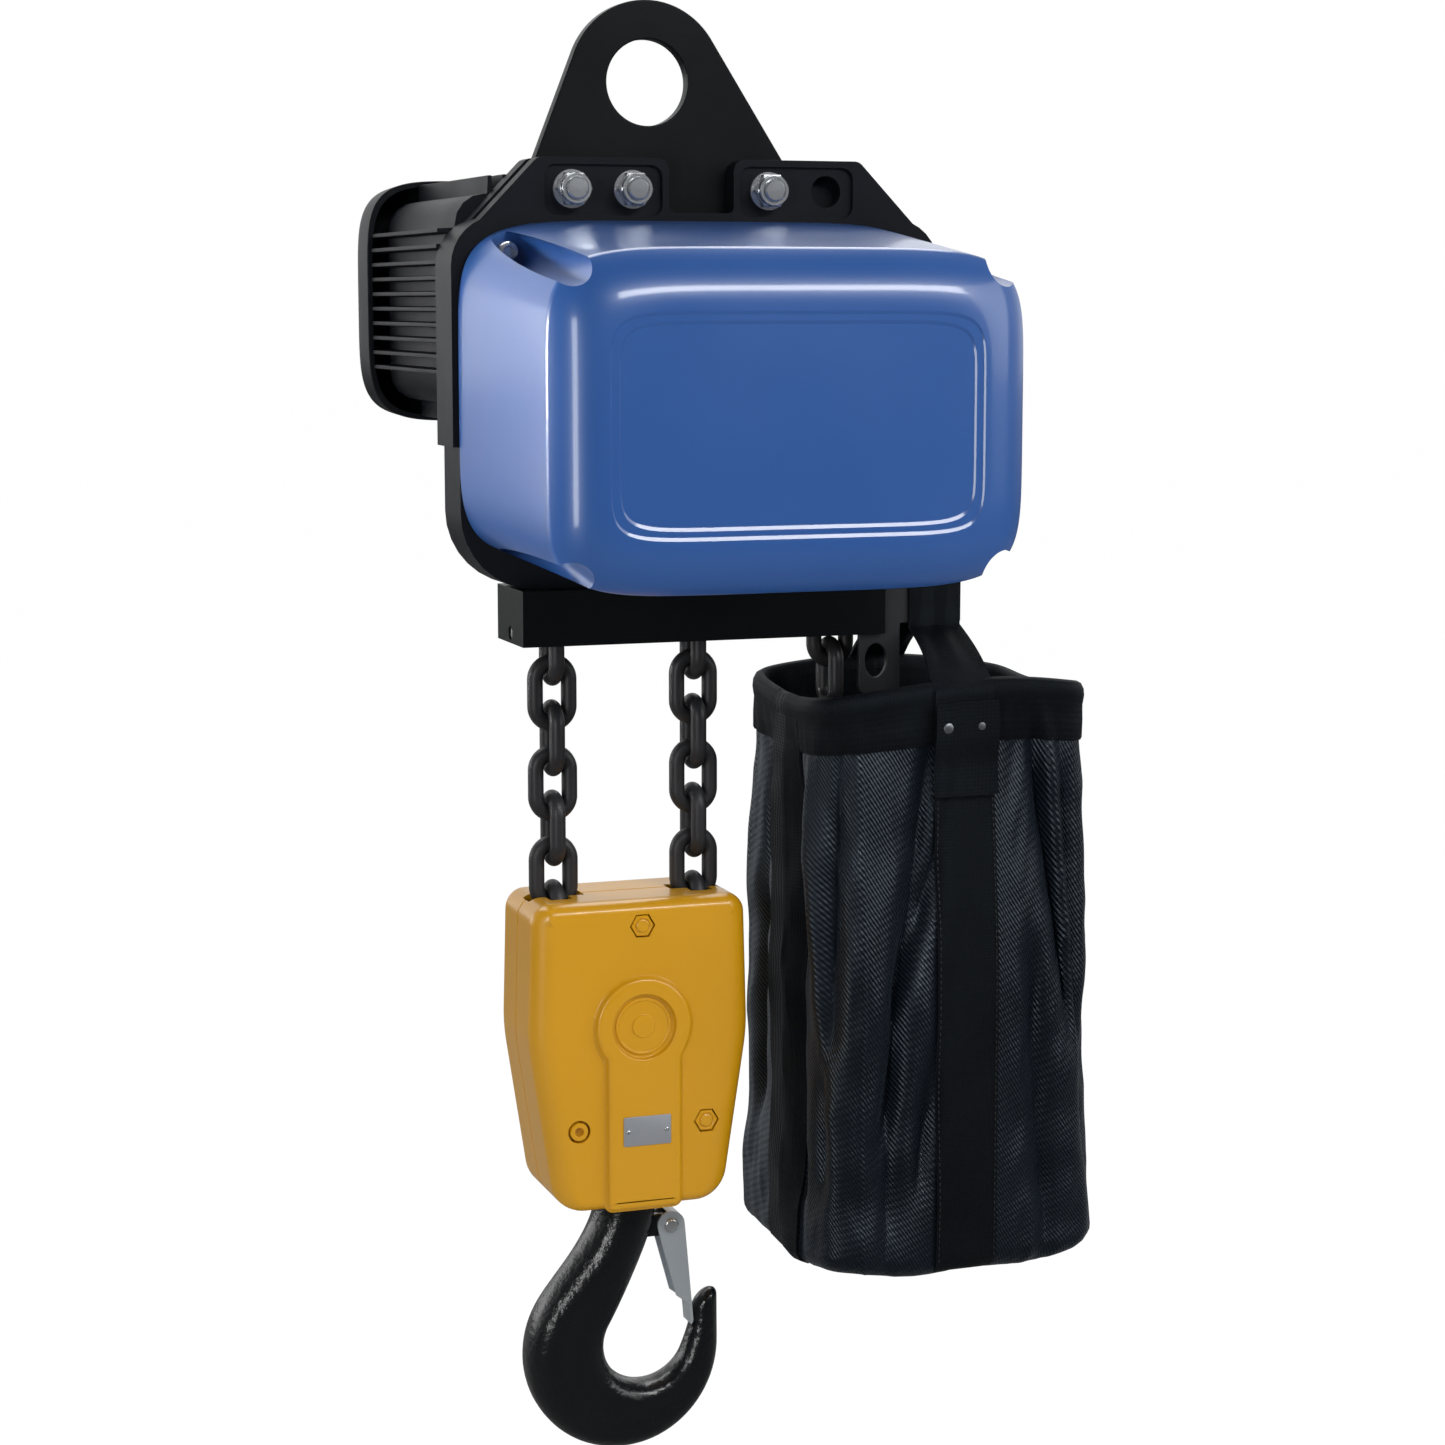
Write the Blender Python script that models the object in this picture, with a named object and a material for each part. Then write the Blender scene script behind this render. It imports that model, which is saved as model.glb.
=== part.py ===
"""Electric two-fall chain hoist, modelled as an assembly of separate pieces.

Metres, +Z up. The origin is the centre of the suspension eye. X runs along the front
of the housing and Y runs from the control cover back to the motor.
"""
import math

import bmesh
import bpy
from mathutils import Matrix, Vector
from mathutils.geometry import convex_hull_2d

MM = 0.001

# Clearances
GAP = 0.3 * MM                   # between pieces that seat on each other
RUNNING_GAP = 0.4 * MM           # between a shaft and its bore
SWEEP_GAP = 3.0 * MM             # between a moving piece and the walls round it
GUIDE_GAP = 0.7 * MM             # between the chain and the cross-shaped slots that guide it

# Chain
WIRE = 11.2 * MM
PITCH = 34.0 * MM
LINK_INNER_WIDTH = 14.6 * MM
LINK_PLAY = 0.6 * MM             # play between two links
WHEEL_POCKETS = 5
DEAD_LINKS = 7
RUNNING_LINKS = 9
SLACK_LINKS = 5
LIFT_TRAVEL = 48.0 * MM          # how far the hook block rises in this model

# Suspension plate
EYE_RADIUS = 31.0 * MM
EYE_RIM_RADIUS = 59.0 * MM
PLATE_THICKNESS = 12.0 * MM
PLATE_LEFT = -88.0 * MM
PLATE_RIGHT = 110.0 * MM
PLATE_SHOULDER_RISE = 35.0 * MM   # shoulders of the plate above the top of the housing

# Main housing
BODY_X = 36.0 * MM
HOUSING_HALF_WIDTH = 189.0 * MM
HOUSING_TOP = -97.0 * MM
HOUSING_FLOOR = 33.13 * MM       # underside of the housing below its gear case
HOUSING_FRONT = -22.0 * MM
HOUSING_REAR = 24.0 * MM
HOUSING_STEP_DROP = 165.0 * MM   # the side band ends in a step here
HOUSING_STEP = 5.0 * MM
HOUSING_TOP_RADIUS = 36.0 * MM
HOUSING_BOTTOM_RADIUS = 56.0 * MM
LUG_RISE = 42.0 * MM
LUG_TOP_HALF = 124.0 * MM
LUG_FOOT_HALF = 180.0 * MM
LUG_NOTCH_HALF = 25.0 * MM
PAD_DEPTH = 3.0 * MM             # recess in the front lug round two bolts
PAD_MARGIN = 5.0 * MM
CASTING_WALL = 8.0 * MM

# Suspension bolts
BOLT_RADIUS = 8.0 * MM
BOLT_RISE = 19.5 * MM              # bolts above the top of the housing
BOLT_OFFSETS = (-98.5 * MM, -52.5 * MM, 52.5 * MM, 98.5 * MM)
NUT_RADIUS = 13.8 * MM
NUT_HEIGHT = 13.0 * MM
NUT_COLLAR_RADIUS = 11.2 * MM
NUT_COLLAR_HEIGHT = 4.5 * MM
BOLT_HEAD_HEIGHT = 8.0 * MM       # sunk into the rear lug, behind which the motor stands
WASHER_RADIUS = 15.0 * MM
WASHER_THICKNESS = 2.5 * MM

# Control cover
COVER_DEPTH = 205.0 * MM
COVER_WALL = 4.0 * MM
COVER_FLANGE = 10.0 * MM
COVER_EDGE_RADIUS = 26.0 * MM
COVER_SIDE_MARGIN = 4.0 * MM     # rim of the housing beside the cover
COVER_TOP_MARGIN = 3.0 * MM
COVER_BOTTOM_MARGIN = 21.0 * MM
COVER_TAPER = (13.0 * MM, 6.0 * MM)
COVER_DIP = 18.0 * MM            # front of the cover below its rear
COVER_SQUARENESS = 6.0           # exponent of the bowed outline
SCOOP_RADIUS = 14.0 * MM
SCOOP_REAR_INSET = (33.0 * MM, 22.5 * MM)
SCOOP_FRONT_INSET = (15.0 * MM, 11.0 * MM)
PANEL_MARGIN = (38.0 * MM, 42.5 * MM)
PANEL_SQUARENESS = 9.0
PANEL_LEDGE = 4.5 * MM           # between the two steps round the panel
PANEL_STEP = 0.8 * MM
GASKET_THICKNESS = 2.4 * MM
GASKET_WIDTH = 5.0 * MM
SCREW_RADIUS = 4.0 * MM
SCREW_HEAD_RADIUS = 7.0 * MM
SCREW_HEAD_HEIGHT = 8.0 * MM
SCREW_DEPTH = 14.0 * MM
CONTROL_BASE_HALF = (72.0 * MM, 52.0 * MM)
CONTROL_BASE_DEPTH = 6.0 * MM
CONTACTOR_HALF = (20.0 * MM, 40.0 * MM)
CONTACTOR_DEPTH = 66.0 * MM

# Motor
MOTOR_X = -60.0 * MM
MOTOR_DROP = 61.0 * MM           # motor axis below the top of the housing
MOTOR_HALF = 92.0 * MM
MOTOR_LENGTH = 212.0 * MM
MOTOR_CORE_HALF = 78.0 * MM
MOTOR_CORNER_RADIUS = 50.0 * MM
FIN_COUNT = 10
FIN_PITCH = 11.4 * MM
FIN_THICKNESS = 4.2 * MM
STATOR_RADIUS = 65.0 * MM
STATOR_LENGTH = 100.0 * MM
ROTOR_RADIUS = 41.0 * MM
AIR_GAP = 0.6 * MM
SHAFT_RADIUS = 12.0 * MM
END_COVER_LENGTH = 54.0 * MM
END_COVER_WALL = 4.0 * MM
END_COVER_OVERHANG = 3.0 * MM
END_COVER_SQUARENESS = 5.0
BRAKE_DISC_RADIUS = 58.0 * MM
BRAKE_DISC_THICKNESS = 8.0 * MM
BRAKE_MAGNET_LENGTH = 28.0 * MM
BOSS_RADIUS = 20.0 * MM

# Gears
GEAR_MODULE = 5.0 * MM
PINION_TEETH = 9
FIRST_GEAR_TEETH = 33
LOAD_GEAR_TEETH = 25
GEAR_WIDTH = 14.0 * MM
GEAR_SPACING = 3.0 * MM
GEAR_WALL = 6.0 * MM
GEAR_LID_THICKNESS = 8.0 * MM
STUB_RADIUS = 11.0 * MM
STUB_LENGTH = 6.0 * MM

# Load wheel and guide bar
WHEEL_DROP = 158.0 * MM          # load wheel axis below the top of the housing
WHEEL_HALF_WIDTH = 22.0 * MM
WHEEL_SHAFT_RADIUS = 17.0 * MM
FLANGE_RISE = 2.0 * MM           # flange of a chain wheel above the pitch circle
BAR_END_WALL = 13.0 * MM         # beyond the outer slots
BAR_HALF_DEPTH = 35.0 * MM
BAR_HEIGHT = 41.0 * MM
ANCHOR_PIN_RADIUS = 5.0 * MM
ANCHOR_PIN_HALF_LENGTH = 30.0 * MM
SLACK_RISE = 103.0 * MM          # top slack link above the underside of the bar

# Hook block
LOAD_X = -19.0 * MM
FALL_LENGTH = 190.7 * MM         # from the guide bar down to the block
BLOCK_HEIGHT = 236.0 * MM
BLOCK_HALF_TOP = 83.0 * MM
BLOCK_HALF_MIDDLE = 86.0 * MM
BLOCK_HALF_BOTTOM = 66.0 * MM
BLOCK_MIDDLE_DROP = 105.0 * MM
BLOCK_HALF_DEPTH = 46.0 * MM
BLOCK_EDGE_RADIUS = 13.0 * MM
BLOCK_WALL = 6.0 * MM
BLOCK_FLOOR = 26.0 * MM
SHEAVE_DROP = 95.0 * MM          # sheave axle below the top of the block
AXLE_RADIUS = 15.0 * MM
AXLE_BOSS_RADIUS = 24.0 * MM
RELIEF_RADIUS = 37.0 * MM
RELIEF_BAND_HALF = 28.5 * MM
RELIEF_HEIGHT = 3.5 * MM
RELIEF_RING = (20.5 * MM, 24.0 * MM)
BLOCK_BOLT_RADIUS = 5.0 * MM
BLOCK_BOLT_HEAD_RADIUS = 8.5 * MM
BLOCK_BOLT_POCKET = 6.0 * MM
BLOCK_BOLT_TOP_DROP = 19.0 * MM
BLOCK_BOLT_LOW_DROP = 172.0 * MM
BLOCK_BOLT_LOW_OFFSET = 50.0 * MM

# Hook and latch
NECK_RADIUS = 24.0 * MM
SHANK_RADIUS = 15.0 * MM
HOOK_OUTER_RADIUS = 77.5 * MM
HOOK_BOWL_RADIUS = 33.5 * MM
HOOK_OUTER_CENTRE = (-4.0 * MM, -123.0 * MM)    # from the underside of the block
HOOK_BOWL_CENTRE = (13.5 * MM, -117.5 * MM)
HOOK_TIP_FLARE = 10.0 * MM
HOOK_TIP_RADIUS = 10.0 * MM
HOOK_BACK_ANGLE = 150.0          # degrees, where the neck runs into the round of the hook
HOOK_TIP_ANGLE = 384.0
HOOK_FLARE_ANGLE = 340.0
HOOK_NECK_PULL = 86.4 * MM
LATCH_REST_ANGLE = 378.0
BEARING_HEIGHT = 14.0 * MM
BEARING_RADIUS = 34.0 * MM
HOOK_NUT_HEIGHT = 24.0 * MM
HOOK_NUT_RADIUS = 27.0 * MM
LATCH_PIVOT = (34.0 * MM, -27.0 * MM)           # from the underside of the block
LATCH_HALF_WIDTH = 9.5 * MM
LATCH_SHEET = 2.0 * MM
LATCH_HEAD_RADIUS = 11.0 * MM
LATCH_TIP_RADIUS = 4.0 * MM
LATCH_PIN_RADIUS = 4.0 * MM
SPRING_WIRE = 1.6 * MM
SPRING_RADIUS = 6.0 * MM
SPRING_TURNS = 2

# Chain bag
BAG_OFFSET = 6.0 * MM            # middle of the bag beside the sling
BAG_DROP = 51.7 * MM             # rim of the bag below the arm
BAG_HEIGHT = 453.0 * MM
BAG_RIM_HALF = (114.0 * MM, 84.0 * MM)
BAG_BELLY_HALF = (117.0 * MM, 100.0 * MM)
BAG_BELLY_DROP = 204.0 * MM
BAG_CORNER_RADIUS = 28.0 * MM
BAG_SQUARENESS = 5.0
BAG_FOLDS = 9
BAG_FOLD_DEPTH = 6.0 * MM
BAG_FOLD_SLANT = 0.5             # radians that a fold drifts from the rim to the bottom
BAG_CLOTH = 3.0 * MM
BAG_HEM = 36.0 * MM
SLING_OFFSET = 41.2 * MM         # middle of the sling along the arm
SLING_WIDTH = 50.0 * MM
SLING_TOP_WIDTH = 34.0 * MM
SLING_THICKNESS = 3.0 * MM
SLING_SLACK = 0.54 * MM          # more room between the sling and the side of the bag
ARM_LENGTH = 64.0 * MM
ARM_HALF_DEPTH = 30.0 * MM
ARM_HEIGHT = 34.0 * MM
TONGUE_LENGTH = 46.0 * MM
TONGUE_THICKNESS = 5.0 * MM
TONGUE_REACH = (19.3 * MM, 13.8 * MM)           # to the left and right of the end of the bar
TONGUE_HOLE_HALF = (9.0 * MM, 13.0 * MM)
TONGUE_HOLE_RISE = 25.3 * MM


def pitch_radius(teeth):
    return teeth * GEAR_MODULE / 2


def circle_meeting(first, first_reach, second, second_reach):
    """Lower point that lies first_reach from first and second_reach from second."""
    across = Vector(second) - Vector(first)
    distance = across.length
    along = (first_reach ** 2 - second_reach ** 2 + distance ** 2) / (2 * distance)
    aside = math.sqrt(max(first_reach ** 2 - along ** 2, 0))
    unit = across / distance
    return Vector(first) + unit * along + Vector((unit.y, -unit.x)) * aside


def tip_radius(teeth):
    return pitch_radius(teeth) + GEAR_MODULE * 0.75


# Sizes that follow from the ones above
PITCH_RADIUS = 0.5 * math.hypot(
    PITCH / math.sin(math.pi / 2 / WHEEL_POCKETS), WIRE / math.cos(math.pi / 2 / WHEEL_POCKETS))
LINK_HALF_WIDTH = LINK_INNER_WIDTH / 2 + WIRE
LINK_INNER_LENGTH = PITCH + LINK_PLAY
DEAD_X = LOAD_X - PITCH_RADIUS
RUNNING_X = LOAD_X + PITCH_RADIUS
WHEEL_X = RUNNING_X + PITCH_RADIUS
SLACK_X = WHEEL_X + PITCH_RADIUS
WHEEL_Z = HOUSING_TOP - WHEEL_DROP
PLATE_SHOULDER_Z = HOUSING_TOP + PLATE_SHOULDER_RISE
HOUSING_STEP_Z = HOUSING_TOP - HOUSING_STEP_DROP
LUG_TOP = HOUSING_TOP + LUG_RISE
BOLT_Z = HOUSING_TOP + BOLT_RISE
MOTOR_Z = HOUSING_TOP - MOTOR_DROP
ROTOR_AXIS = Vector((MOTOR_X, MOTOR_Z))
WHEEL_AXIS = Vector((WHEEL_X, WHEEL_Z))
GEAR_AXIS = circle_meeting(
    ROTOR_AXIS, pitch_radius(PINION_TEETH) + pitch_radius(FIRST_GEAR_TEETH),
    WHEEL_AXIS, pitch_radius(PINION_TEETH) + pitch_radius(LOAD_GEAR_TEETH))
HOUSING_BOTTOM = GEAR_AXIS.y - tip_radius(FIRST_GEAR_TEETH) - GEAR_SPACING - GEAR_WALL - HOUSING_FLOOR
HOUSING_HEIGHT = HOUSING_TOP - HOUSING_BOTTOM
BAR_LEFT = DEAD_X - LINK_HALF_WIDTH - BAR_END_WALL
BAR_RIGHT = SLACK_X + LINK_HALF_WIDTH + BAR_END_WALL
COVER_REAR_HALF = (HOUSING_HALF_WIDTH - COVER_SIDE_MARGIN,
                   (HOUSING_HEIGHT - COVER_TOP_MARGIN - COVER_BOTTOM_MARGIN) / 2)
COVER_FRONT_HALF = (COVER_REAR_HALF[0] - COVER_TAPER[0], COVER_REAR_HALF[1] - COVER_TAPER[1])
COVER_REAR_Z = HOUSING_TOP - COVER_TOP_MARGIN - COVER_REAR_HALF[1]
COVER_FRONT_Z = COVER_REAR_Z - COVER_DIP
PANEL_HALF = (COVER_FRONT_HALF[0] - PANEL_MARGIN[0], COVER_FRONT_HALF[1] - PANEL_MARGIN[1])
CHANNEL_HALF = LINK_HALF_WIDTH + SWEEP_GAP
MOUTH_SLOT_HALF = WIRE / 2 + SWEEP_GAP
BAR_TOP = HOUSING_BOTTOM - GAP
BAR_BOTTOM = BAR_TOP - BAR_HEIGHT
ANCHOR_Z = BAR_BOTTOM + 1.5 * ANCHOR_PIN_RADIUS
TOP_LINK_Z = ANCHOR_Z + ANCHOR_PIN_RADIUS + 2 * GAP - LINK_INNER_LENGTH / 2
PLATE_FACE = PLATE_THICKNESS / 2
LUG_INNER = PLATE_FACE + GAP
PLATE_BOTTOM = HOUSING_TOP + GAP
BOLT_SEAT = HOUSING_REAR - BOLT_HEAD_HEIGHT - 2 * GAP
GASKET_FRONT = HOUSING_FRONT - GAP - GASKET_THICKNESS
COVER_REAR = GASKET_FRONT - GAP
COVER_FRONT = COVER_REAR - COVER_DEPTH
MOTOR_FRONT = HOUSING_REAR + GAP
MOTOR_REAR = MOTOR_FRONT + MOTOR_LENGTH
END_FRONT = MOTOR_REAR + GAP
END_REAR = END_FRONT + END_COVER_LENGTH
BLOCK_TOP = BAR_BOTTOM - FALL_LENGTH
BLOCK_BOTTOM = BLOCK_TOP - BLOCK_HEIGHT
SHEAVE_Z = BLOCK_TOP - SHEAVE_DROP
FLANGE_RADIUS = PITCH_RADIUS + FLANGE_RISE
ARM_LEFT = BAR_RIGHT + GAP
ARM_TOP = BAR_TOP
ARM_BOTTOM = ARM_TOP - ARM_HEIGHT
SLING_X = ARM_LEFT + SLING_OFFSET
BAG_X = SLING_X + BAG_OFFSET
BAG_RIM_Z = ARM_BOTTOM - BAG_DROP
CHAMBER_HALF_DEPTH = WHEEL_HALF_WIDTH + SWEEP_GAP
GEAR_BACK = -CHAMBER_HALF_DEPTH - CASTING_WALL
SECOND_STAGE_REAR = GEAR_BACK - GEAR_SPACING
SECOND_STAGE_FRONT = SECOND_STAGE_REAR - GEAR_WIDTH
FIRST_STAGE_REAR = SECOND_STAGE_FRONT - GEAR_SPACING
FIRST_STAGE_FRONT = FIRST_STAGE_REAR - GEAR_WIDTH
GEARBOX_FRONT = FIRST_STAGE_FRONT - GEAR_SPACING
LID_REAR = GEARBOX_FRONT - GAP
LID_FRONT = LID_REAR - GEAR_LID_THICKNESS

# Sides of the four corners of the cover, to the left or right and up or down
CORNERS = ((-1, 1), (1, 1), (-1, -1), (1, -1))


# Finishes: colour, roughness, metallic
BLACK_CASTING = ((0.012, 0.012, 0.013), 0.45, 0.0)
BLACK_STEEL = ((0.010, 0.010, 0.011), 0.40, 0.3)
BLUE_PAINT = ((0.026, 0.092, 0.300), 0.22, 0.0)
YELLOW_PAINT = ((0.578, 0.290, 0.013), 0.25, 0.0)
CHAIN_STEEL = ((0.045, 0.045, 0.048), 0.50, 0.8)
ZINC = ((0.62, 0.64, 0.66), 0.28, 1.0)
BARE_STEEL = ((0.50, 0.50, 0.51), 0.35, 1.0)
COPPER = ((0.45, 0.20, 0.10), 0.45, 0.8)
RUBBER = ((0.015, 0.015, 0.015), 0.80, 0.0)
BAG_FABRIC = ((0.010, 0.011, 0.014), 0.85, 0.0)
GREY_PLASTIC = ((0.16, 0.17, 0.18), 0.55, 0.0)


def finish(name, look):
    colour, roughness, metallic = look
    material = bpy.data.materials.new(name)
    material.use_nodes = True
    shader = material.node_tree.nodes["Principled BSDF"]
    shader.inputs["Base Color"].default_value = (*colour, 1.0)
    shader.inputs["Roughness"].default_value = roughness
    shader.inputs["Metallic"].default_value = metallic
    material.diffuse_color = (*colour, 1.0)
    return material


def solid(points, faces):
    """Closed mesh from points and faces, with its faces turned outwards."""
    mesh = bpy.data.meshes.new("solid")
    mesh.from_pydata([tuple(p) for p in points], [], faces)
    shape = bmesh.new()
    shape.from_mesh(mesh)
    bmesh.ops.remove_doubles(shape, verts=shape.verts, dist=0.001 * MM)
    bmesh.ops.recalc_face_normals(shape, faces=shape.faces)
    shape.to_mesh(mesh)
    shape.free()
    return mesh


def loft(rings, closed=False):
    """Skin over rings of equal count, capped at both ends unless the loft is closed."""
    count = len(rings[0])
    points = [p for ring in rings for p in ring]
    faces = []
    for r in range(len(rings) if closed else len(rings) - 1):
        start = r * count
        after = (r + 1) % len(rings) * count
        for i in range(count):
            j = (i + 1) % count
            faces.append((start + i, start + j, after + j, after + i))
    if not closed:
        faces.append(tuple(range(count - 1, -1, -1)))
        faces.append(tuple(range(len(points) - count, len(points))))
    return solid(points, faces)


def at_depth(outline, y):
    """Outline in X and Z, placed at a depth Y."""
    return [Vector((p[0], y, p[1])) for p in outline]


def prism(outline, front, rear):
    return loft([at_depth(outline, front), at_depth(outline, rear)])


def arc(centre, radius, start, end, steps):
    """Points of an arc, with its angles in degrees."""
    angles = [math.radians(start + (end - start) * i / steps) for i in range(steps + 1)]
    return [Vector((centre[0] + radius * math.cos(a), centre[1] + radius * math.sin(a)))
            for a in angles]


def circle(centre, radius, steps=24):
    return arc(centre, radius, 0, 360, steps)[:-1]


def cylinder(centre, radius, front, rear, steps=16):
    return prism(circle(centre, radius, steps), front, rear)


def rounded(corners, radii, steps=4):
    """Polygon whose corners are rounded, each by its own radius."""
    outline = []
    count = len(corners)
    for i, corner in enumerate(corners):
        here = Vector(corner)
        back = (Vector(corners[i - 1]) - here).normalized()
        ahead = (Vector(corners[(i + 1) % count]) - here).normalized()
        half = math.acos(max(-1.0, min(1.0, back.dot(ahead)))) / 2
        if radii[i] <= 0 or half > math.radians(89.5):
            outline.append(here)
            continue
        reach = radii[i] / math.tan(half)
        centre = here + (back + ahead).normalized() * radii[i] / math.sin(half)
        first = here + back * reach - centre
        last = here + ahead * reach - centre
        turn = math.atan2(first.x * last.y - first.y * last.x, first.dot(last))
        for k in range(steps + 1):
            a = turn * k / steps
            outline.append(centre + Vector((first.x * math.cos(a) - first.y * math.sin(a),
                                            first.x * math.sin(a) + first.y * math.cos(a))))
    return outline


def rectangle(left, right, bottom, top, radius=0.0, steps=4):
    corners = [(left, bottom), (right, bottom), (right, top), (left, top)]
    return rounded(corners, [radius] * 4, steps)


def inset(outline, distance):
    """Anticlockwise outline moved inwards along its normals."""
    moved = []
    count = len(outline)
    for i, p in enumerate(outline):
        before = (p - outline[i - 1]).normalized()
        after = (outline[(i + 1) % count] - p).normalized()
        along = (before + after).normalized()
        normal = Vector((-along.y, along.x))
        stretch = max(0.5, normal.dot(Vector((-before.y, before.x))))
        moved.append(p + normal * distance / stretch)
    return moved


def box(low, high):
    return prism(rectangle(low[0], high[0], low[2], high[2]), low[1], high[1])


def revolve_y(profile, centre, steps=20, closed=True):
    """Turn a profile of (radius, y) about an axis along Y."""
    rings = []
    for i in range(steps):
        a = 2 * math.pi * i / steps
        rings.append([Vector((centre[0] + r * math.cos(a), y, centre[1] + r * math.sin(a)))
                      for r, y in profile])
    return loft(rings, closed)


def turned(sections, centre, steps=12):
    """Bar along Y from sections (y, radius, hexagon), where a hexagon has flat sides."""
    rings = []
    for y, radius, hexagon in sections:
        ring = []
        for i in range(steps):
            a = 2 * math.pi * i / steps
            reach = radius
            if hexagon:
                reach = radius * math.cos(math.pi / 6) / math.cos(a % (math.pi / 3) - math.pi / 6)
            ring.append(Vector((centre[0] + reach * math.cos(a), y,
                                centre[1] + reach * math.sin(a))))
        rings.append(ring)
    return loft(rings)


def combine(mesh, other, operation):
    """Boolean of two meshes."""
    body = bpy.data.objects.new("body", mesh)
    tool = bpy.data.objects.new("tool", other)
    for item in (body, tool):
        bpy.context.scene.collection.objects.link(item)
    step = body.modifiers.new("step", "BOOLEAN")
    step.operation = operation
    step.solver = "EXACT"
    step.object = tool
    bpy.context.view_layer.update()
    result = bpy.data.meshes.new_from_object(
        body.evaluated_get(bpy.context.evaluated_depsgraph_get()))
    bpy.data.objects.remove(body)
    bpy.data.objects.remove(tool)
    return result


def cut(mesh, *tools):
    for tool in tools:
        mesh = combine(mesh, tool, "DIFFERENCE")
    return mesh


def join(mesh, *others):
    for other in others:
        mesh = combine(mesh, other, "UNION")
    return mesh


def piece(name, mesh, look, origin=(0.0, 0.0, 0.0), smooth=30.0):
    """Named object with its own material and its origin on its joint's axis."""
    mesh.name = name
    mesh.transform(Matrix.Translation(-Vector(origin)))
    mesh.materials.clear()
    mesh.materials.append(finish(name, look))
    mesh.shade_smooth()
    mesh.set_sharp_from_angle(angle=math.radians(smooth))
    item = bpy.data.objects.new(name, mesh)
    item.location = origin
    bpy.context.scene.collection.objects.link(item)
    return item


def tangent_angle(point, radius, side):
    """Angle in degrees where a line from a point touches a circle round the origin."""
    angle = math.degrees(math.atan2(point.y, point.x)) % 360
    return angle + side * math.degrees(math.acos(radius / point.length))


def squircle(centre, halves, squareness, steps=28):
    """Rectangle with bowed sides and round corners, as a superellipse."""
    outline = []
    for i in range(steps):
        a = 2 * math.pi * (i + 0.5) / steps
        x = math.copysign(abs(math.cos(a)) ** (2 / squareness), math.cos(a))
        z = math.copysign(abs(math.sin(a)) ** (2 / squareness), math.sin(a))
        outline.append(Vector((centre[0] + halves[0] * x, centre[1] + halves[1] * z)))
    return outline


def hull(*outlines):
    """Convex outline round several outlines, anticlockwise."""
    points = [p for outline in outlines for p in outline]
    ring = [points[i] for i in convex_hull_2d(points)]
    area = sum(a.x * b.y - b.x * a.y for a, b in zip(ring, ring[1:] + ring[:1]))
    return ring if area > 0 else ring[::-1]


def rod(start, end, radius, steps=16):
    """Round bar between two points."""
    start = Vector(start)
    end = Vector(end)
    along = (end - start).normalized()
    side = along.orthogonal().normalized()
    over = along.cross(side)
    rings = []
    for centre in (start, end):
        rings.append([centre + radius * (side * math.cos(2 * math.pi * i / steps)
                                         + over * math.sin(2 * math.pi * i / steps))
                      for i in range(steps)])
    return loft(rings)


def revolve_z(profile, centre, steps=24):
    """Turn a closed profile of (radius, z) about a vertical axis."""
    rings = []
    for i in range(steps):
        a = 2 * math.pi * i / steps
        rings.append([Vector((centre[0] + r * math.cos(a), centre[1] + r * math.sin(a), z))
                      for r, z in profile])
    return loft(rings, closed=True)


def ring_y(centre, inner, outer, front, rear, steps=20):
    return revolve_y([(inner, front), (outer, front), (outer, rear), (inner, rear)], centre, steps)


# Suspension plate, bolts and main housing
def bolt_positions():
    return [(BODY_X + offset, BOLT_Z) for offset in BOLT_OFFSETS]


def make_suspension_plate():
    left = Vector((PLATE_LEFT, PLATE_SHOULDER_Z))
    right = Vector((PLATE_RIGHT, PLATE_SHOULDER_Z))
    start = tangent_angle(right, EYE_RIM_RADIUS, 1) - 360
    end = tangent_angle(left, EYE_RIM_RADIUS, -1)
    outline = arc((0, 0), EYE_RIM_RADIUS, start, end, 20)
    outline += [left, Vector((PLATE_LEFT, PLATE_BOTTOM)), Vector((PLATE_RIGHT, PLATE_BOTTOM)), right]
    mesh = prism(outline, -PLATE_FACE, PLATE_FACE)
    mesh = cut(mesh, cylinder((0, 0), EYE_RADIUS, -PLATE_THICKNESS, PLATE_THICKNESS, 28))
    for position in bolt_positions()[:3]:
        mesh = cut(mesh, cylinder(position, BOLT_RADIUS + GAP, -PLATE_THICKNESS, PLATE_THICKNESS, 12))
    piece("suspension_plate", mesh, BLACK_STEEL)


def make_suspension_bolts():
    front = HOUSING_FRONT + PAD_DEPTH - GAP
    rear = BOLT_SEAT + GAP
    hexagon_front = front - WASHER_THICKNESS - NUT_HEIGHT + NUT_COLLAR_HEIGHT
    sections = [
        (hexagon_front - 1.5 * NUT_COLLAR_HEIGHT, BOLT_RADIUS, False),
        (hexagon_front - NUT_COLLAR_HEIGHT, BOLT_RADIUS, False),
        (hexagon_front - NUT_COLLAR_HEIGHT, NUT_COLLAR_RADIUS, False),
        (hexagon_front, NUT_COLLAR_RADIUS, False),
        (hexagon_front, NUT_RADIUS, True),
        (front - WASHER_THICKNESS, NUT_RADIUS, True),
        (front - WASHER_THICKNESS, WASHER_RADIUS, False),
        (front, WASHER_RADIUS, False),
        (front, BOLT_RADIUS, False),
        (rear, BOLT_RADIUS, False),
        (rear, NUT_RADIUS, True),
        (rear + BOLT_HEAD_HEIGHT, NUT_RADIUS, True)]
    for number, position in enumerate(bolt_positions()[:3], 1):
        piece(f"suspension_bolt_{number}", turned(sections, position), ZINC)


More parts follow.
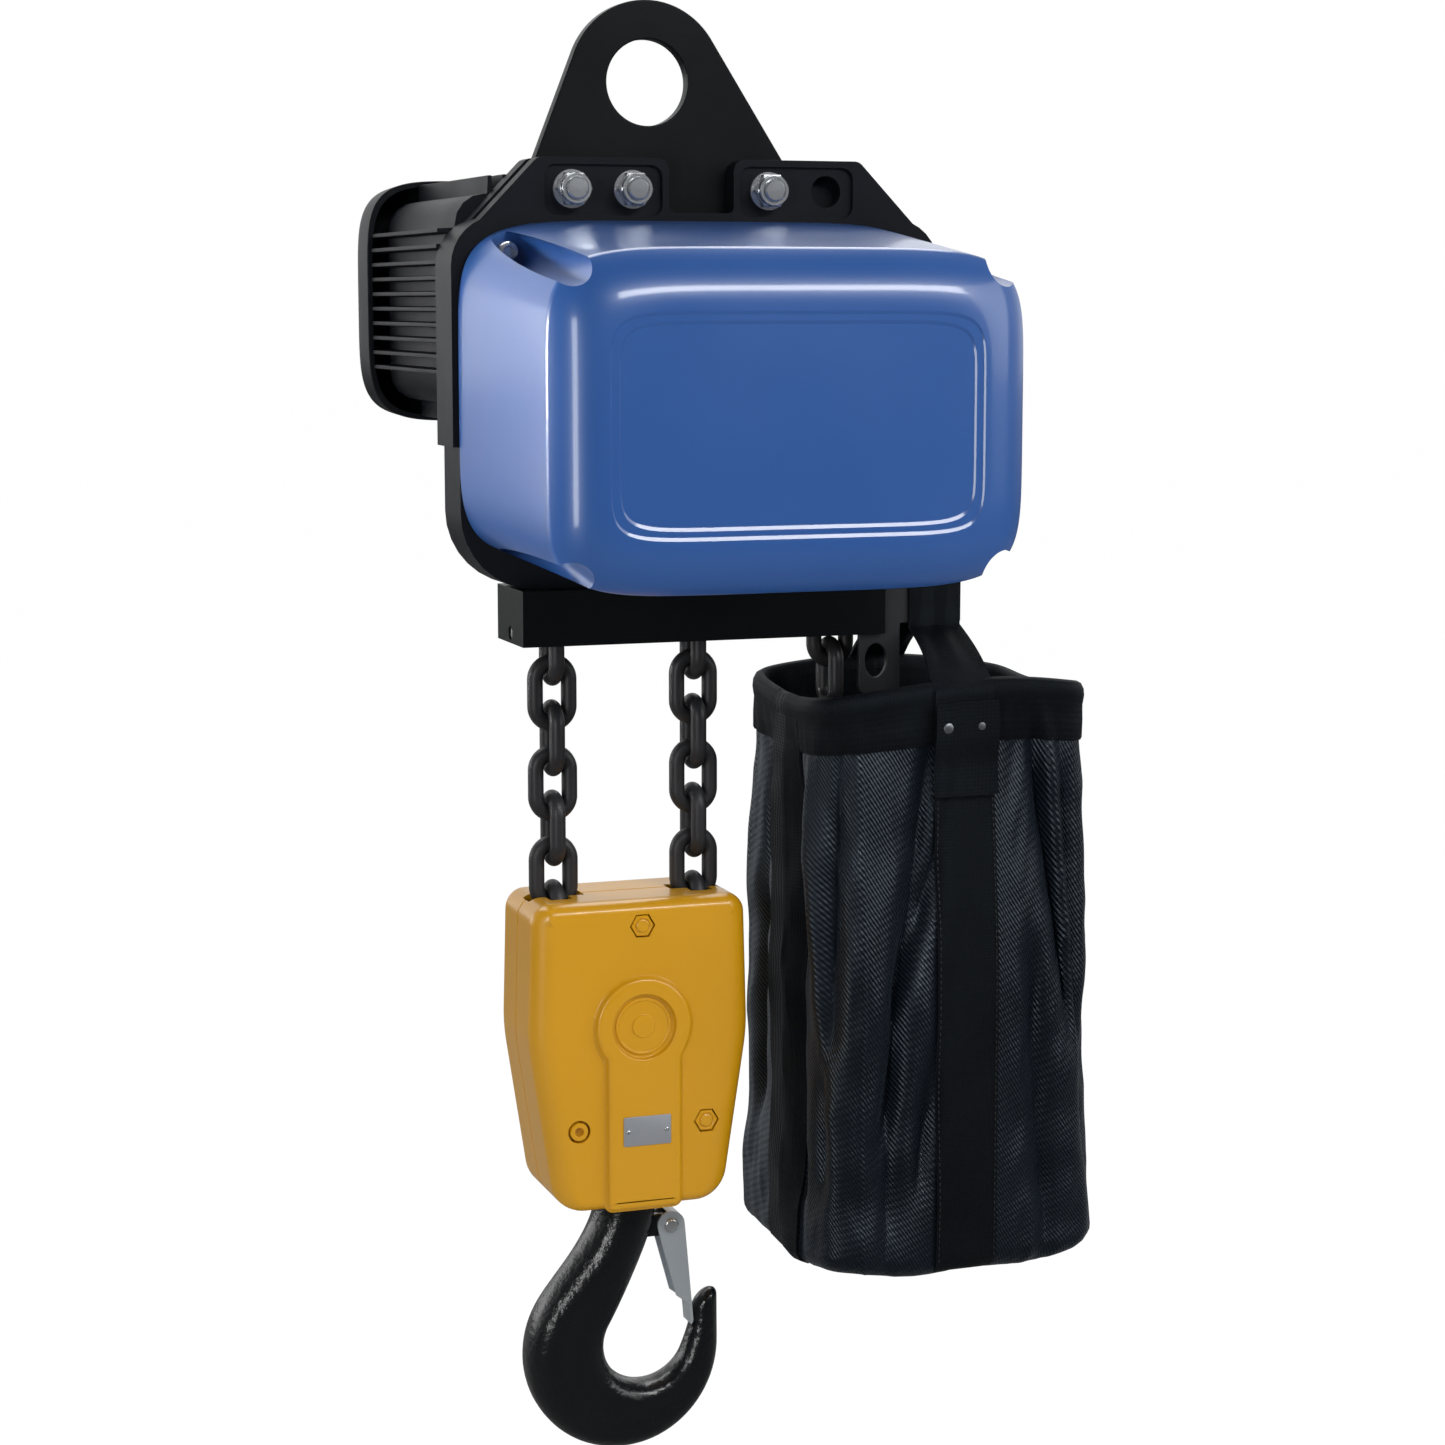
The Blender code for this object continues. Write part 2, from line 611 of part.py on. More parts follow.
def housing_outline():
    low = HOUSING_HALF_WIDTH - HOUSING_STEP
    corners = [(BODY_X - low, HOUSING_BOTTOM), (BODY_X + low, HOUSING_BOTTOM),
               (BODY_X + low, HOUSING_STEP_Z), (BODY_X + HOUSING_HALF_WIDTH, HOUSING_STEP_Z),
               (BODY_X + HOUSING_HALF_WIDTH, HOUSING_TOP), (BODY_X - HOUSING_HALF_WIDTH, HOUSING_TOP),
               (BODY_X - HOUSING_HALF_WIDTH, HOUSING_STEP_Z), (BODY_X - low, HOUSING_STEP_Z)]
    radii = [HOUSING_BOTTOM_RADIUS, HOUSING_BOTTOM_RADIUS, 0, 0, HOUSING_TOP_RADIUS,
             HOUSING_TOP_RADIUS, 0, 0]
    return rounded(corners, radii, 8)


def lug_outline():
    foot = HOUSING_TOP - CASTING_WALL * 2
    notch = HOUSING_TOP + SWEEP_GAP
    right = [(BODY_X + LUG_FOOT_HALF, foot), (BODY_X + LUG_TOP_HALF, LUG_TOP),
             (BODY_X + LUG_NOTCH_HALF, LUG_TOP), (BODY_X + LUG_NOTCH_HALF, notch)]
    left = [(2 * BODY_X - x, z) for x, z in reversed(right)]
    radii = [0, CASTING_WALL, CASTING_WALL, CASTING_WALL / 2]
    return rounded(right + left, radii + radii[::-1], 3)


def chain_top(first_link):
    """Top of a fall whose first link has its centre at this height."""
    return first_link + LINK_INNER_LENGTH / 2 + WIRE


def chamber_outline(grow, bottom):
    """Chain chamber round the load wheel and the two falls that meet it."""
    half = PITCH_RADIUS + CHANNEL_HALF + grow
    highest = max(chain_top(TOP_LINK_Z) + 2 * LIFT_TRAVEL, chain_top(BAR_BOTTOM + SLACK_RISE))
    shoulder = highest + SWEEP_GAP + grow
    top = WHEEL_Z + FLANGE_RADIUS + SWEEP_GAP + grow
    crown = FLANGE_RADIUS * 0.66 + grow
    corners = [(WHEEL_X - half, bottom), (WHEEL_X + half, bottom), (WHEEL_X + half, shoulder),
               (WHEEL_X + crown, top), (WHEEL_X - crown, top), (WHEEL_X - half, shoulder)]
    return [Vector(c) for c in corners]


def gear_case_outline(grow):
    axes = ((ROTOR_AXIS, PINION_TEETH), (GEAR_AXIS, FIRST_GEAR_TEETH), (WHEEL_AXIS, LOAD_GEAR_TEETH))
    return hull(*[circle(axis, tip_radius(teeth) + GEAR_SPACING + grow, 20) for axis, teeth in axes])


def scoop_centre(side, height, front):
    """Centre of a corner scoop of the control cover, at its rear or front end."""
    halves = COVER_FRONT_HALF if front else COVER_REAR_HALF
    insets = SCOOP_FRONT_INSET if front else SCOOP_REAR_INSET
    middle = COVER_FRONT_Z if front else COVER_REAR_Z
    return Vector((BODY_X + side * (halves[0] - insets[0]), middle + height * (halves[1] - insets[1])))


def make_main_housing():
    mesh = prism(housing_outline(), HOUSING_FRONT, HOUSING_REAR)
    pad_inner = LUG_NOTCH_HALF + PAD_MARGIN
    pad_outer = LUG_TOP_HALF - PAD_MARGIN
    pads = []
    for side in (-1, 1):
        edges = sorted((BODY_X + side * pad_inner, BODY_X + side * pad_outer))
        outline = rectangle(*edges, HOUSING_TOP + GAP, LUG_TOP - PAD_MARGIN, CASTING_WALL, 3)
        pads.append(prism(outline, HOUSING_FRONT - PAD_DEPTH, HOUSING_FRONT + PAD_DEPTH))
    chamber_rear = CHAMBER_HALF_DEPTH + CASTING_WALL
    bearing_rear = chamber_rear + 2 * CASTING_WALL
    bearing_radius = WHEEL_SHAFT_RADIUS + CASTING_WALL
    mesh = join(
        mesh,
        prism(lug_outline(), HOUSING_FRONT, -LUG_INNER),
        prism(lug_outline(), LUG_INNER, HOUSING_REAR),
        prism(chamber_outline(CASTING_WALL, HOUSING_BOTTOM), LUG_INNER, chamber_rear),
        cylinder(WHEEL_AXIS, bearing_radius, LUG_INNER, bearing_rear),
        prism(gear_case_outline(GEAR_WALL), GEARBOX_FRONT, -LUG_INNER))
    mesh = cut(
        mesh,
        *pads,
        prism(gear_case_outline(0), GEARBOX_FRONT - CASTING_WALL, GEAR_BACK),
        prism(chamber_outline(0, BAR_BOTTOM), -CHAMBER_HALF_DEPTH, CHAMBER_HALF_DEPTH),
        cylinder(WHEEL_AXIS, WHEEL_SHAFT_RADIUS + RUNNING_GAP, GEAR_BACK - SWEEP_GAP,
                 bearing_rear - CASTING_WALL / 2),
        cylinder(ROTOR_AXIS, SHAFT_RADIUS + RUNNING_GAP, GEAR_BACK - SWEEP_GAP,
                 HOUSING_REAR + SWEEP_GAP),
        cylinder(GEAR_AXIS, STUB_RADIUS + RUNNING_GAP, GEAR_BACK - SWEEP_GAP,
                 GEAR_BACK + STUB_LENGTH + RUNNING_GAP))
    for position in bolt_positions():
        mesh = cut(mesh, cylinder(position, BOLT_RADIUS + GAP, 2 * HOUSING_FRONT, 2 * HOUSING_REAR, 12),
                   cylinder(position, NUT_RADIUS + 2 * GAP, BOLT_SEAT, HOUSING_REAR + SWEEP_GAP))
    for side, height in CORNERS:
        mesh = cut(mesh, cylinder(scoop_centre(side, height, False), SCREW_RADIUS + GAP,
                                  HOUSING_FRONT - SWEEP_GAP, HOUSING_FRONT + SCREW_DEPTH + GAP, 12))
    piece("main_housing", mesh, BLACK_CASTING)


# Control cover, gasket, screws and what lies behind them
def cover_outline(y, shrink):
    share = (COVER_REAR - y) / COVER_DEPTH
    halves = [rear + (front - rear) * share - shrink
              for rear, front in zip(COVER_REAR_HALF, COVER_FRONT_HALF)]
    middle = COVER_REAR_Z + (COVER_FRONT_Z - COVER_REAR_Z) * share
    return at_depth(squircle((BODY_X, middle), halves, COVER_SQUARENESS), y)


def cover_body(shrink, rear):
    """Cover outline run from its rear to its rounded front, made smaller all round."""
    radius = COVER_EDGE_RADIUS - shrink
    front = COVER_FRONT + shrink
    rings = [cover_outline(rear, shrink), cover_outline(front + radius, shrink)]
    for angle in (30, 60, 90):
        a = math.radians(angle)
        rings.append(cover_outline(front + radius * (1 - math.sin(a)),
                                   shrink + radius * (1 - math.cos(a))))
    return loft(rings)


def scoop(side, height, grow, rear):
    """Round channel in a corner, which leaves room for a screw driver."""
    rear_circle = circle(scoop_centre(side, height, False), SCOOP_RADIUS + grow, 16)
    front_circle = circle(scoop_centre(side, height, True), SCOOP_RADIUS + grow, 16)
    return loft([at_depth(rear_circle, rear), at_depth(front_circle, COVER_FRONT - SWEEP_GAP)])


def make_control_cover():
    flange_front = COVER_REAR - COVER_FLANGE
    outer = cover_body(0, COVER_REAR)
    inner = cover_body(COVER_WALL, COVER_REAR + SWEEP_GAP)
    for side, height in CORNERS:
        outer = cut(outer, scoop(side, height, 0, flange_front))
        inner = cut(inner, scoop(side, height, COVER_WALL, COVER_REAR + 2 * SWEEP_GAP))
    mesh = cut(outer, inner)
    for side, height in CORNERS:
        mesh = cut(mesh, cylinder(scoop_centre(side, height, False), SCREW_RADIUS + GAP,
                                  flange_front - SWEEP_GAP, COVER_REAR + SWEEP_GAP, 12))
    for step in (1, 2):
        halves = [half - PANEL_LEDGE * (step - 1) for half in PANEL_HALF]
        recess = squircle((BODY_X, COVER_FRONT_Z), halves, PANEL_SQUARENESS)
        mesh = cut(mesh, prism(recess, COVER_FRONT - SWEEP_GAP, COVER_FRONT + PANEL_STEP * step))
    piece("control_cover", mesh, BLUE_PAINT)


def make_cover_gasket():
    rings = []
    for shrink, y in ((0, GASKET_FRONT), (0, GASKET_FRONT + GASKET_THICKNESS),
                      (GASKET_WIDTH, GASKET_FRONT + GASKET_THICKNESS), (GASKET_WIDTH, GASKET_FRONT)):
        halves = [half - GAP - shrink for half in COVER_REAR_HALF]
        rings.append(at_depth(squircle((BODY_X, COVER_REAR_Z), halves, COVER_SQUARENESS), y))
    piece("cover_gasket", loft(rings, closed=True), RUBBER)


def make_cover_screws():
    seat = COVER_REAR - COVER_FLANGE - GAP
    sections = [(seat - SCREW_HEAD_HEIGHT, SCREW_HEAD_RADIUS * 0.88, False),
                (seat - SCREW_HEAD_HEIGHT * 0.85, SCREW_HEAD_RADIUS, False),
                (seat, SCREW_HEAD_RADIUS, False),
                (seat, SCREW_RADIUS, False),
                (HOUSING_FRONT + SCREW_DEPTH, SCREW_RADIUS, False)]
    for number, (side, height) in enumerate(CORNERS, 1):
        mesh = turned(sections, scoop_centre(side, height, False))
        piece(f"cover_screw_{number}", mesh, ZINC)


def make_gear_lid():
    mesh = prism(gear_case_outline(GEAR_WALL), LID_FRONT, LID_REAR)
    mesh = cut(mesh, cylinder(GEAR_AXIS, STUB_RADIUS + RUNNING_GAP,
                              LID_REAR - STUB_LENGTH - RUNNING_GAP, LID_REAR + SWEEP_GAP))
    piece("gear_lid", mesh, BARE_STEEL)


def make_control_unit():
    """Contactors on a base plate, carried by the gear lid."""
    rear = LID_FRONT - GAP
    x, z = GEAR_AXIS
    wide, tall = CONTROL_BASE_HALF
    mesh = prism(rectangle(x - wide, x + wide, z - tall, z + tall, CONTROL_BASE_DEPTH, 2),
                 rear - CONTROL_BASE_DEPTH, rear)
    wide, tall = CONTACTOR_HALF
    for place in (-1, 0, 1):
        middle = x + place * (2 * wide + CONTROL_BASE_DEPTH)
        outline = rectangle(middle - wide, middle + wide, z - tall, z + tall, CONTROL_BASE_DEPTH / 2, 2)
        mesh = join(mesh, prism(outline, rear - CONTROL_BASE_DEPTH - CONTACTOR_DEPTH,
                                rear - CONTROL_BASE_DEPTH / 2))
    piece("control_unit", mesh, GREY_PLASTIC)


# Motor, brake and gears
def make_motor_housing():
    core = MOTOR_CORE_HALF
    shoulder = MOTOR_HALF - MOTOR_CORNER_RADIUS
    outer_fin = (FIN_COUNT - 1) / 2 * FIN_PITCH + FIN_THICKNESS
    corner = core - outer_fin
    outline = []
    for quarter in range(4):
        side = []
        for k in range(FIN_COUNT):
            u = (k - (FIN_COUNT - 1) / 2) * FIN_PITCH
            past = max(0.0, abs(u) - shoulder)
            tip = shoulder + math.sqrt(MOTOR_CORNER_RADIUS ** 2 - past ** 2)
            half = FIN_THICKNESS / 2
            side += [(core, u - half), (tip, u - half * 0.7), (tip, u + half * 0.7), (core, u + half)]
        side += [tuple(p) for p in arc((core - corner, core - corner), corner, 0, 90, 4)]
        turn = quarter * math.pi / 2
        for v, u in side:
            outline.append(Vector((MOTOR_X + v * math.cos(turn) - u * math.sin(turn),
                                   MOTOR_Z + v * math.sin(turn) + u * math.cos(turn))))
    mesh = prism(outline, MOTOR_FRONT, MOTOR_REAR)
    mesh = cut(mesh, cylinder(ROTOR_AXIS, STATOR_RADIUS, MOTOR_FRONT - SWEEP_GAP,
                              MOTOR_REAR + SWEEP_GAP, 32))
    piece("motor_housing", mesh, BLACK_CASTING)


def make_motor_end_cover():
    half = MOTOR_HALF + END_COVER_OVERHANG
    inner_rear = END_REAR - END_COVER_WALL
    shape = [(inner_rear, END_COVER_WALL * 4), (inner_rear - END_COVER_WALL * 3, END_COVER_WALL),
             (END_FRONT, END_COVER_WALL), (END_FRONT, 0),
             (END_REAR - END_COVER_WALL * 4, END_COVER_WALL * 0.4),
             (END_REAR - END_COVER_WALL * 1.5, END_COVER_WALL * 1.4), (END_REAR, END_COVER_WALL * 4)]
    rings = [at_depth(squircle(ROTOR_AXIS, (half - shrink, half - shrink), END_COVER_SQUARENESS), y)
             for y, shrink in shape]
    journal = SHAFT_RADIUS * 0.8
    mesh = loft(rings)
    mesh = join(mesh, cylinder(ROTOR_AXIS, BOSS_RADIUS, inner_rear - BRAKE_MAGNET_LENGTH,
                               inner_rear + END_COVER_WALL / 2))
    mesh = cut(mesh, cylinder(ROTOR_AXIS, journal + RUNNING_GAP,
                              inner_rear - BRAKE_MAGNET_LENGTH - SWEEP_GAP, inner_rear))
    piece("motor_end_cover", mesh, BLACK_CASTING)


def make_stator():
    middle = (MOTOR_FRONT + MOTOR_REAR) / 2
    mesh = ring_y(ROTOR_AXIS, ROTOR_RADIUS + AIR_GAP, STATOR_RADIUS - GAP,
                  middle - STATOR_LENGTH / 2, middle + STATOR_LENGTH / 2)
    piece("stator", mesh, COPPER)


def tooth_angles(teeth, phase):
    """Angles and heights (0 root, 1 tip) of the corners of every tooth."""
    step = 2 * math.pi / teeth
    corners = ((-0.26, 0), (-0.11, 1), (0.11, 1), (0.26, 0))
    return [(phase + (k + share) * step, height) for k in range(teeth) for share, height in corners]


def gear_outline(axis, teeth, phase):
    root = pitch_radius(teeth) - GEAR_MODULE * 1.15
    outline = []
    for a, height in tooth_angles(teeth, phase):
        radius = tip_radius(teeth) if height else root
        outline.append(Vector((axis.x + radius * math.cos(a), axis.y + radius * math.sin(a))))
    return outline


def direction(start, end):
    return math.atan2(end.y - start.y, end.x - start.x)


def make_motor_rotor():
    pinion = gear_outline(ROTOR_AXIS, PINION_TEETH, direction(ROTOR_AXIS, GEAR_AXIS))
    middle = (MOTOR_FRONT + MOTOR_REAR) / 2
    journal = SHAFT_RADIUS * 0.8
    shoulder = END_REAR - END_COVER_WALL - BRAKE_MAGNET_LENGTH - SWEEP_GAP
    shaft = turned([(FIRST_STAGE_FRONT + GEAR_WIDTH / 2, SHAFT_RADIUS, False),
                    (middle - STATOR_LENGTH / 2, SHAFT_RADIUS, False),
                    (middle - STATOR_LENGTH / 2, ROTOR_RADIUS, False),
                    (middle + STATOR_LENGTH / 2, ROTOR_RADIUS, False),
                    (middle + STATOR_LENGTH / 2, SHAFT_RADIUS, False),
                    (shoulder, SHAFT_RADIUS, False),
                    (shoulder, journal, False),
                    (END_REAR - END_COVER_WALL - SWEEP_GAP, journal, False)], ROTOR_AXIS, 16)
    mesh = join(shaft, prism(pinion, FIRST_STAGE_FRONT, FIRST_STAGE_REAR))
    piece("motor_rotor", mesh, BARE_STEEL, (ROTOR_AXIS.x, 0, ROTOR_AXIS.y))


def make_brake():
    front = END_FRONT + SWEEP_GAP
    disc = ring_y(ROTOR_AXIS, SHAFT_RADIUS + GAP, BRAKE_DISC_RADIUS, front,
                  front + BRAKE_DISC_THICKNESS)
    piece("brake_disc", disc, RUBBER, (ROTOR_AXIS.x, 0, ROTOR_AXIS.y))
    rear = END_REAR - END_COVER_WALL - GAP
    magnet = ring_y(ROTOR_AXIS, BOSS_RADIUS + GAP, BRAKE_DISC_RADIUS, rear - BRAKE_MAGNET_LENGTH, rear)
    piece("brake_magnet", magnet, BARE_STEEL)


def make_reduction_gear():
    half_tooth = math.pi / FIRST_GEAR_TEETH
    wheel = gear_outline(GEAR_AXIS, FIRST_GEAR_TEETH, direction(GEAR_AXIS, ROTOR_AXIS) + half_tooth)
    pinion = gear_outline(GEAR_AXIS, PINION_TEETH, direction(GEAR_AXIS, WHEEL_AXIS))
    mesh = join(prism(wheel, FIRST_STAGE_FRONT, FIRST_STAGE_REAR),
                prism(pinion, FIRST_STAGE_REAR - GEAR_SPACING, SECOND_STAGE_REAR),
                cylinder(GEAR_AXIS, STUB_RADIUS, LID_REAR - STUB_LENGTH, GEAR_BACK + STUB_LENGTH, 16))
    piece("reduction_gear", mesh, BARE_STEEL, (GEAR_AXIS.x, 0, GEAR_AXIS.y))


def chain_wheel_profile(bore):
    """Grooved wheel: flat links lie on its lands and upright links dip into its groove."""
    land = PITCH_RADIUS - WIRE / 2 - GAP
    root = PITCH_RADIUS - LINK_HALF_WIDTH - SWEEP_GAP / 2
    groove = WIRE / 2 + SWEEP_GAP / 2
    flange = LINK_HALF_WIDTH + GAP * 3
    half = WHEEL_HALF_WIDTH
    right = [(root, groove), (land, groove), (land, flange), (FLANGE_RADIUS, flange + GAP),
             (FLANGE_RADIUS, half), (bore, half)]
    left = [(radius, -y) for radius, y in reversed(right)]
    return left + right


def make_load_wheel():
    half_tooth = math.pi / LOAD_GEAR_TEETH
    gear = gear_outline(WHEEL_AXIS, LOAD_GEAR_TEETH, direction(WHEEL_AXIS, GEAR_AXIS) + half_tooth)
    bearing_rear = CHAMBER_HALF_DEPTH + 3 * CASTING_WALL
    mesh = join(revolve_y(chain_wheel_profile(WHEEL_SHAFT_RADIUS / 2), WHEEL_AXIS),
                cylinder(WHEEL_AXIS, WHEEL_SHAFT_RADIUS, SECOND_STAGE_FRONT,
                         bearing_rear - CASTING_WALL / 2 - SWEEP_GAP),
                prism(gear, SECOND_STAGE_FRONT, SECOND_STAGE_REAR))
    piece("load_wheel", mesh, BARE_STEEL, (WHEEL_X, 0, WHEEL_Z))


# Guide bar, anchor pin and chain
def make_chain_guide_bar():
    mesh = box((BAR_LEFT, -BAR_HALF_DEPTH, BAR_BOTTOM), (BAR_RIGHT, BAR_HALF_DEPTH, BAR_TOP))
    wide = LINK_HALF_WIDTH + GUIDE_GAP
    narrow = WIRE / 2 + GUIDE_GAP
    low = BAR_BOTTOM - SWEEP_GAP
    high = BAR_TOP + SWEEP_GAP
    for x in (DEAD_X, RUNNING_X, SLACK_X):
        mesh = cut(mesh, box((x - wide, -narrow, low), (x + wide, narrow, high)),
                   box((x - narrow, -wide, low), (x + narrow, wide, high)))
    mesh = cut(mesh, rod((BAR_LEFT - SWEEP_GAP, 0, ANCHOR_Z),
                         (DEAD_X + ANCHOR_PIN_HALF_LENGTH + GAP, 0, ANCHOR_Z), ANCHOR_PIN_RADIUS + GAP))
    piece("chain_guide_bar", mesh, BLACK_STEEL)
    pin = rod((DEAD_X - ANCHOR_PIN_HALF_LENGTH, 0, ANCHOR_Z), (DEAD_X + ANCHOR_PIN_HALF_LENGTH, 0, ANCHOR_Z),
              ANCHOR_PIN_RADIUS)
    piece("chain_anchor_pin", pin, BARE_STEEL)


def link_mesh(edge_on):
    """One chain link round the origin, seen face on or edge on from the front."""
    bend = (LINK_INNER_WIDTH + WIRE) / 2
    straight = (LINK_INNER_LENGTH - LINK_INNER_WIDTH) / 2
    sides = 8
    rings = []
    for end in (1, -1):
        for k in range(5):
            a = math.pi * k / 4 + (0 if end > 0 else math.pi)
            out = Vector((math.cos(a), 0, math.sin(a)))
            centre = out * bend + Vector((0, 0, end * straight))
            ring = []
            for i in range(sides):
                b = 2 * math.pi * i / sides
                across = out * math.cos(b) + Vector((0, math.sin(b), 0))
                ring.append(centre + across * WIRE / 2)
            rings.append(ring)
    if edge_on:
        rings = [[Vector((-p.y, p.x, p.z)) for p in ring] for ring in rings]
    return loft(rings, closed=True)


def make_fall(name, x, top, count, first_edge_on):
    for k in range(count):
        edge_on = (k % 2 == 0) == first_edge_on
        link = piece(f"{name}_link_{k + 1}", link_mesh(edge_on), CHAIN_STEEL)
        link.location = (x, 0, top - k * PITCH)


def make_chain():
    make_fall("dead_fall", DEAD_X, TOP_LINK_Z, DEAD_LINKS, True)
    make_fall("running_fall", RUNNING_X, TOP_LINK_Z, RUNNING_LINKS, True)
    make_fall("slack_fall", SLACK_X, BAR_BOTTOM + SLACK_RISE, SLACK_LINKS, True)


# Hook block
def block_half(z):
    """Half width of the block at a height."""
    middle = BLOCK_TOP - BLOCK_MIDDLE_DROP
    if z > middle:
        return BLOCK_HALF_MIDDLE + (BLOCK_HALF_TOP - BLOCK_HALF_MIDDLE) * (z - middle) / BLOCK_MIDDLE_DROP
    share = (middle - z) / (BLOCK_HEIGHT - BLOCK_MIDDLE_DROP)
    return BLOCK_HALF_MIDDLE + (BLOCK_HALF_BOTTOM - BLOCK_HALF_MIDDLE) * share


def block_outline(wall, top, bottom, radii):
    heights = (bottom, BLOCK_TOP - BLOCK_MIDDLE_DROP, top)
    right = [(LOAD_X + block_half(z) - wall, z) for z in heights]
    left = [(2 * LOAD_X - x, z) for x, z in reversed(right)]
    return rounded([left[-1]] + right + left[:-1], [radii[0], *radii, *radii[:0:-1]], 4)


def block_bolt_positions():
    low = BLOCK_TOP - BLOCK_BOLT_LOW_DROP
    return [(LOAD_X, BLOCK_TOP - BLOCK_BOLT_TOP_DROP), (LOAD_X - BLOCK_BOLT_LOW_OFFSET, low),
            (LOAD_X + BLOCK_BOLT_LOW_OFFSET, low)]


def block_shell(side):
    """One half of the block's casing, on the front (-1) or rear (1) side of the seam."""
    radii = (BLOCK_EDGE_RADIUS * 2, BLOCK_EDGE_RADIUS * 4, BLOCK_EDGE_RADIUS * 1.2)
    outline = block_outline(0, BLOCK_TOP, BLOCK_BOTTOM, radii)
    straight = BLOCK_HALF_DEPTH - BLOCK_EDGE_RADIUS
    rings = [at_depth(outline, side * GAP / 2), at_depth(outline, side * straight)]
    for angle in (45, 90):
        a = math.radians(angle)
        rings.append(at_depth(inset(outline, BLOCK_EDGE_RADIUS * (1 - math.cos(a))),
                              side * (straight + BLOCK_EDGE_RADIUS * math.sin(a))))
    axle = (LOAD_X, SHEAVE_Z)
    inner = BLOCK_HALF_DEPTH - BLOCK_WALL * 1.4
    floor = BLOCK_BOTTOM + BLOCK_FLOOR
    cavity = block_outline(BLOCK_WALL, BLOCK_TOP - BLOCK_WALL, floor, (BLOCK_WALL, BLOCK_WALL, BLOCK_WALL))
    mesh = cut(loft(rings), prism(cavity, -side * BLOCK_WALL, side * inner))
    for x in (DEAD_X, RUNNING_X):
        for wide, deep in ((CHANNEL_HALF, MOUTH_SLOT_HALF), (MOUTH_SLOT_HALF, CHANNEL_HALF)):
            mesh = cut(mesh, box((x - wide, -deep, BLOCK_TOP - 2 * BLOCK_WALL),
                                 (x + wide, deep, BLOCK_TOP + BLOCK_WALL)))
    share = math.degrees(math.acos(RELIEF_BAND_HALF / RELIEF_RADIUS))
    relief = arc(axle, RELIEF_RADIUS, -share, 180 + share, 16)
    relief += [Vector((LOAD_X - RELIEF_BAND_HALF, BLOCK_BOTTOM + BLOCK_EDGE_RADIUS)),
               Vector((LOAD_X + RELIEF_BAND_HALF, BLOCK_BOTTOM + BLOCK_EDGE_RADIUS))]
    face = BLOCK_HALF_DEPTH + RELIEF_HEIGHT
    mesh = join(mesh, prism(relief, side * (inner + BLOCK_WALL / 2), side * face),
                cylinder(axle, AXLE_BOSS_RADIUS, side * (WHEEL_HALF_WIDTH + 2 * GAP),
                         side * (inner + BLOCK_WALL / 2)))
    mesh = cut(mesh, ring_y(axle, *RELIEF_RING, side * (face - RELIEF_HEIGHT * 0.6),
                            side * (face + SWEEP_GAP)),
               cylinder(axle, AXLE_RADIUS + GAP, 0, side * (inner + GAP)))
    pocket_floor = BLOCK_HALF_DEPTH - BLOCK_BOLT_POCKET
    for position in block_bolt_positions():
        mesh = join(mesh, cylinder(position, BLOCK_BOLT_HEAD_RADIUS + SWEEP_GAP, side * GAP / 2,
                                   side * (inner + GAP), 12))
        mesh = cut(mesh, cylinder(position, BLOCK_BOLT_HEAD_RADIUS + SWEEP_GAP / 2, side * pocket_floor,
                                  side * (face + SWEEP_GAP), 6),
                   cylinder(position, BLOCK_BOLT_RADIUS + GAP, -side * GAP, side * BLOCK_HALF_DEPTH, 12))
    return cut(mesh, rod((LOAD_X, 0, BLOCK_BOTTOM - SWEEP_GAP), (LOAD_X, 0, floor + SWEEP_GAP),
                         SHANK_RADIUS + RUNNING_GAP, 24))


def make_block():
    origin = (LOAD_X, 0, SHEAVE_Z)
    piece("block_front_shell", block_shell(-1), YELLOW_PAINT, origin)
    piece("block_rear_shell", block_shell(1), YELLOW_PAINT, origin)
    axle_half = BLOCK_HALF_DEPTH - BLOCK_WALL * 1.4
    axle = cylinder((LOAD_X, SHEAVE_Z), AXLE_RADIUS, -axle_half, axle_half)
    piece("sheave_axle", axle, BARE_STEEL, origin)
    sheave = revolve_y(chain_wheel_profile(AXLE_RADIUS + RUNNING_GAP), (LOAD_X, SHEAVE_Z))
    piece("return_sheave", sheave, BARE_STEEL, origin)
    seat = BLOCK_HALF_DEPTH - BLOCK_BOLT_POCKET + GAP
    head = BLOCK_BOLT_POCKET - 2 * GAP
    sections = [(-seat - head, BLOCK_BOLT_HEAD_RADIUS, True), (-seat, BLOCK_BOLT_HEAD_RADIUS, True),
                (-seat, BLOCK_BOLT_RADIUS, False), (seat, BLOCK_BOLT_RADIUS, False),
                (seat, BLOCK_BOLT_HEAD_RADIUS, True), (seat + head, BLOCK_BOLT_HEAD_RADIUS, True)]
    for number, position in enumerate(block_bolt_positions(), 1):
        piece(f"block_bolt_{number}", turned(sections, position), ZINC, origin)
    floor = BLOCK_BOTTOM + BLOCK_FLOOR + GAP
    profile = [(SHANK_RADIUS + RUNNING_GAP, floor), (BEARING_RADIUS, floor),
               (BEARING_RADIUS, floor + BEARING_HEIGHT),
               (SHANK_RADIUS + RUNNING_GAP, floor + BEARING_HEIGHT)]
    piece("thrust_bearing", revolve_z(profile, (LOAD_X, 0)), BARE_STEEL, origin)


# Hook and latch
def hermite(start, start_pull, end, end_pull, t):
    return (start * (2 * t ** 3 - 3 * t ** 2 + 1) + start_pull * (t ** 3 - 2 * t ** 2 + t)
            + end * (3 * t ** 2 - 2 * t ** 3) + end_pull * (t ** 3 - t ** 2))


def hook_point(centre, radius, angle):
    a = math.radians(angle)
    return Vector((LOAD_X + centre[0] + radius * math.cos(a),
                   BLOCK_BOTTOM + centre[1] + radius * math.sin(a)))


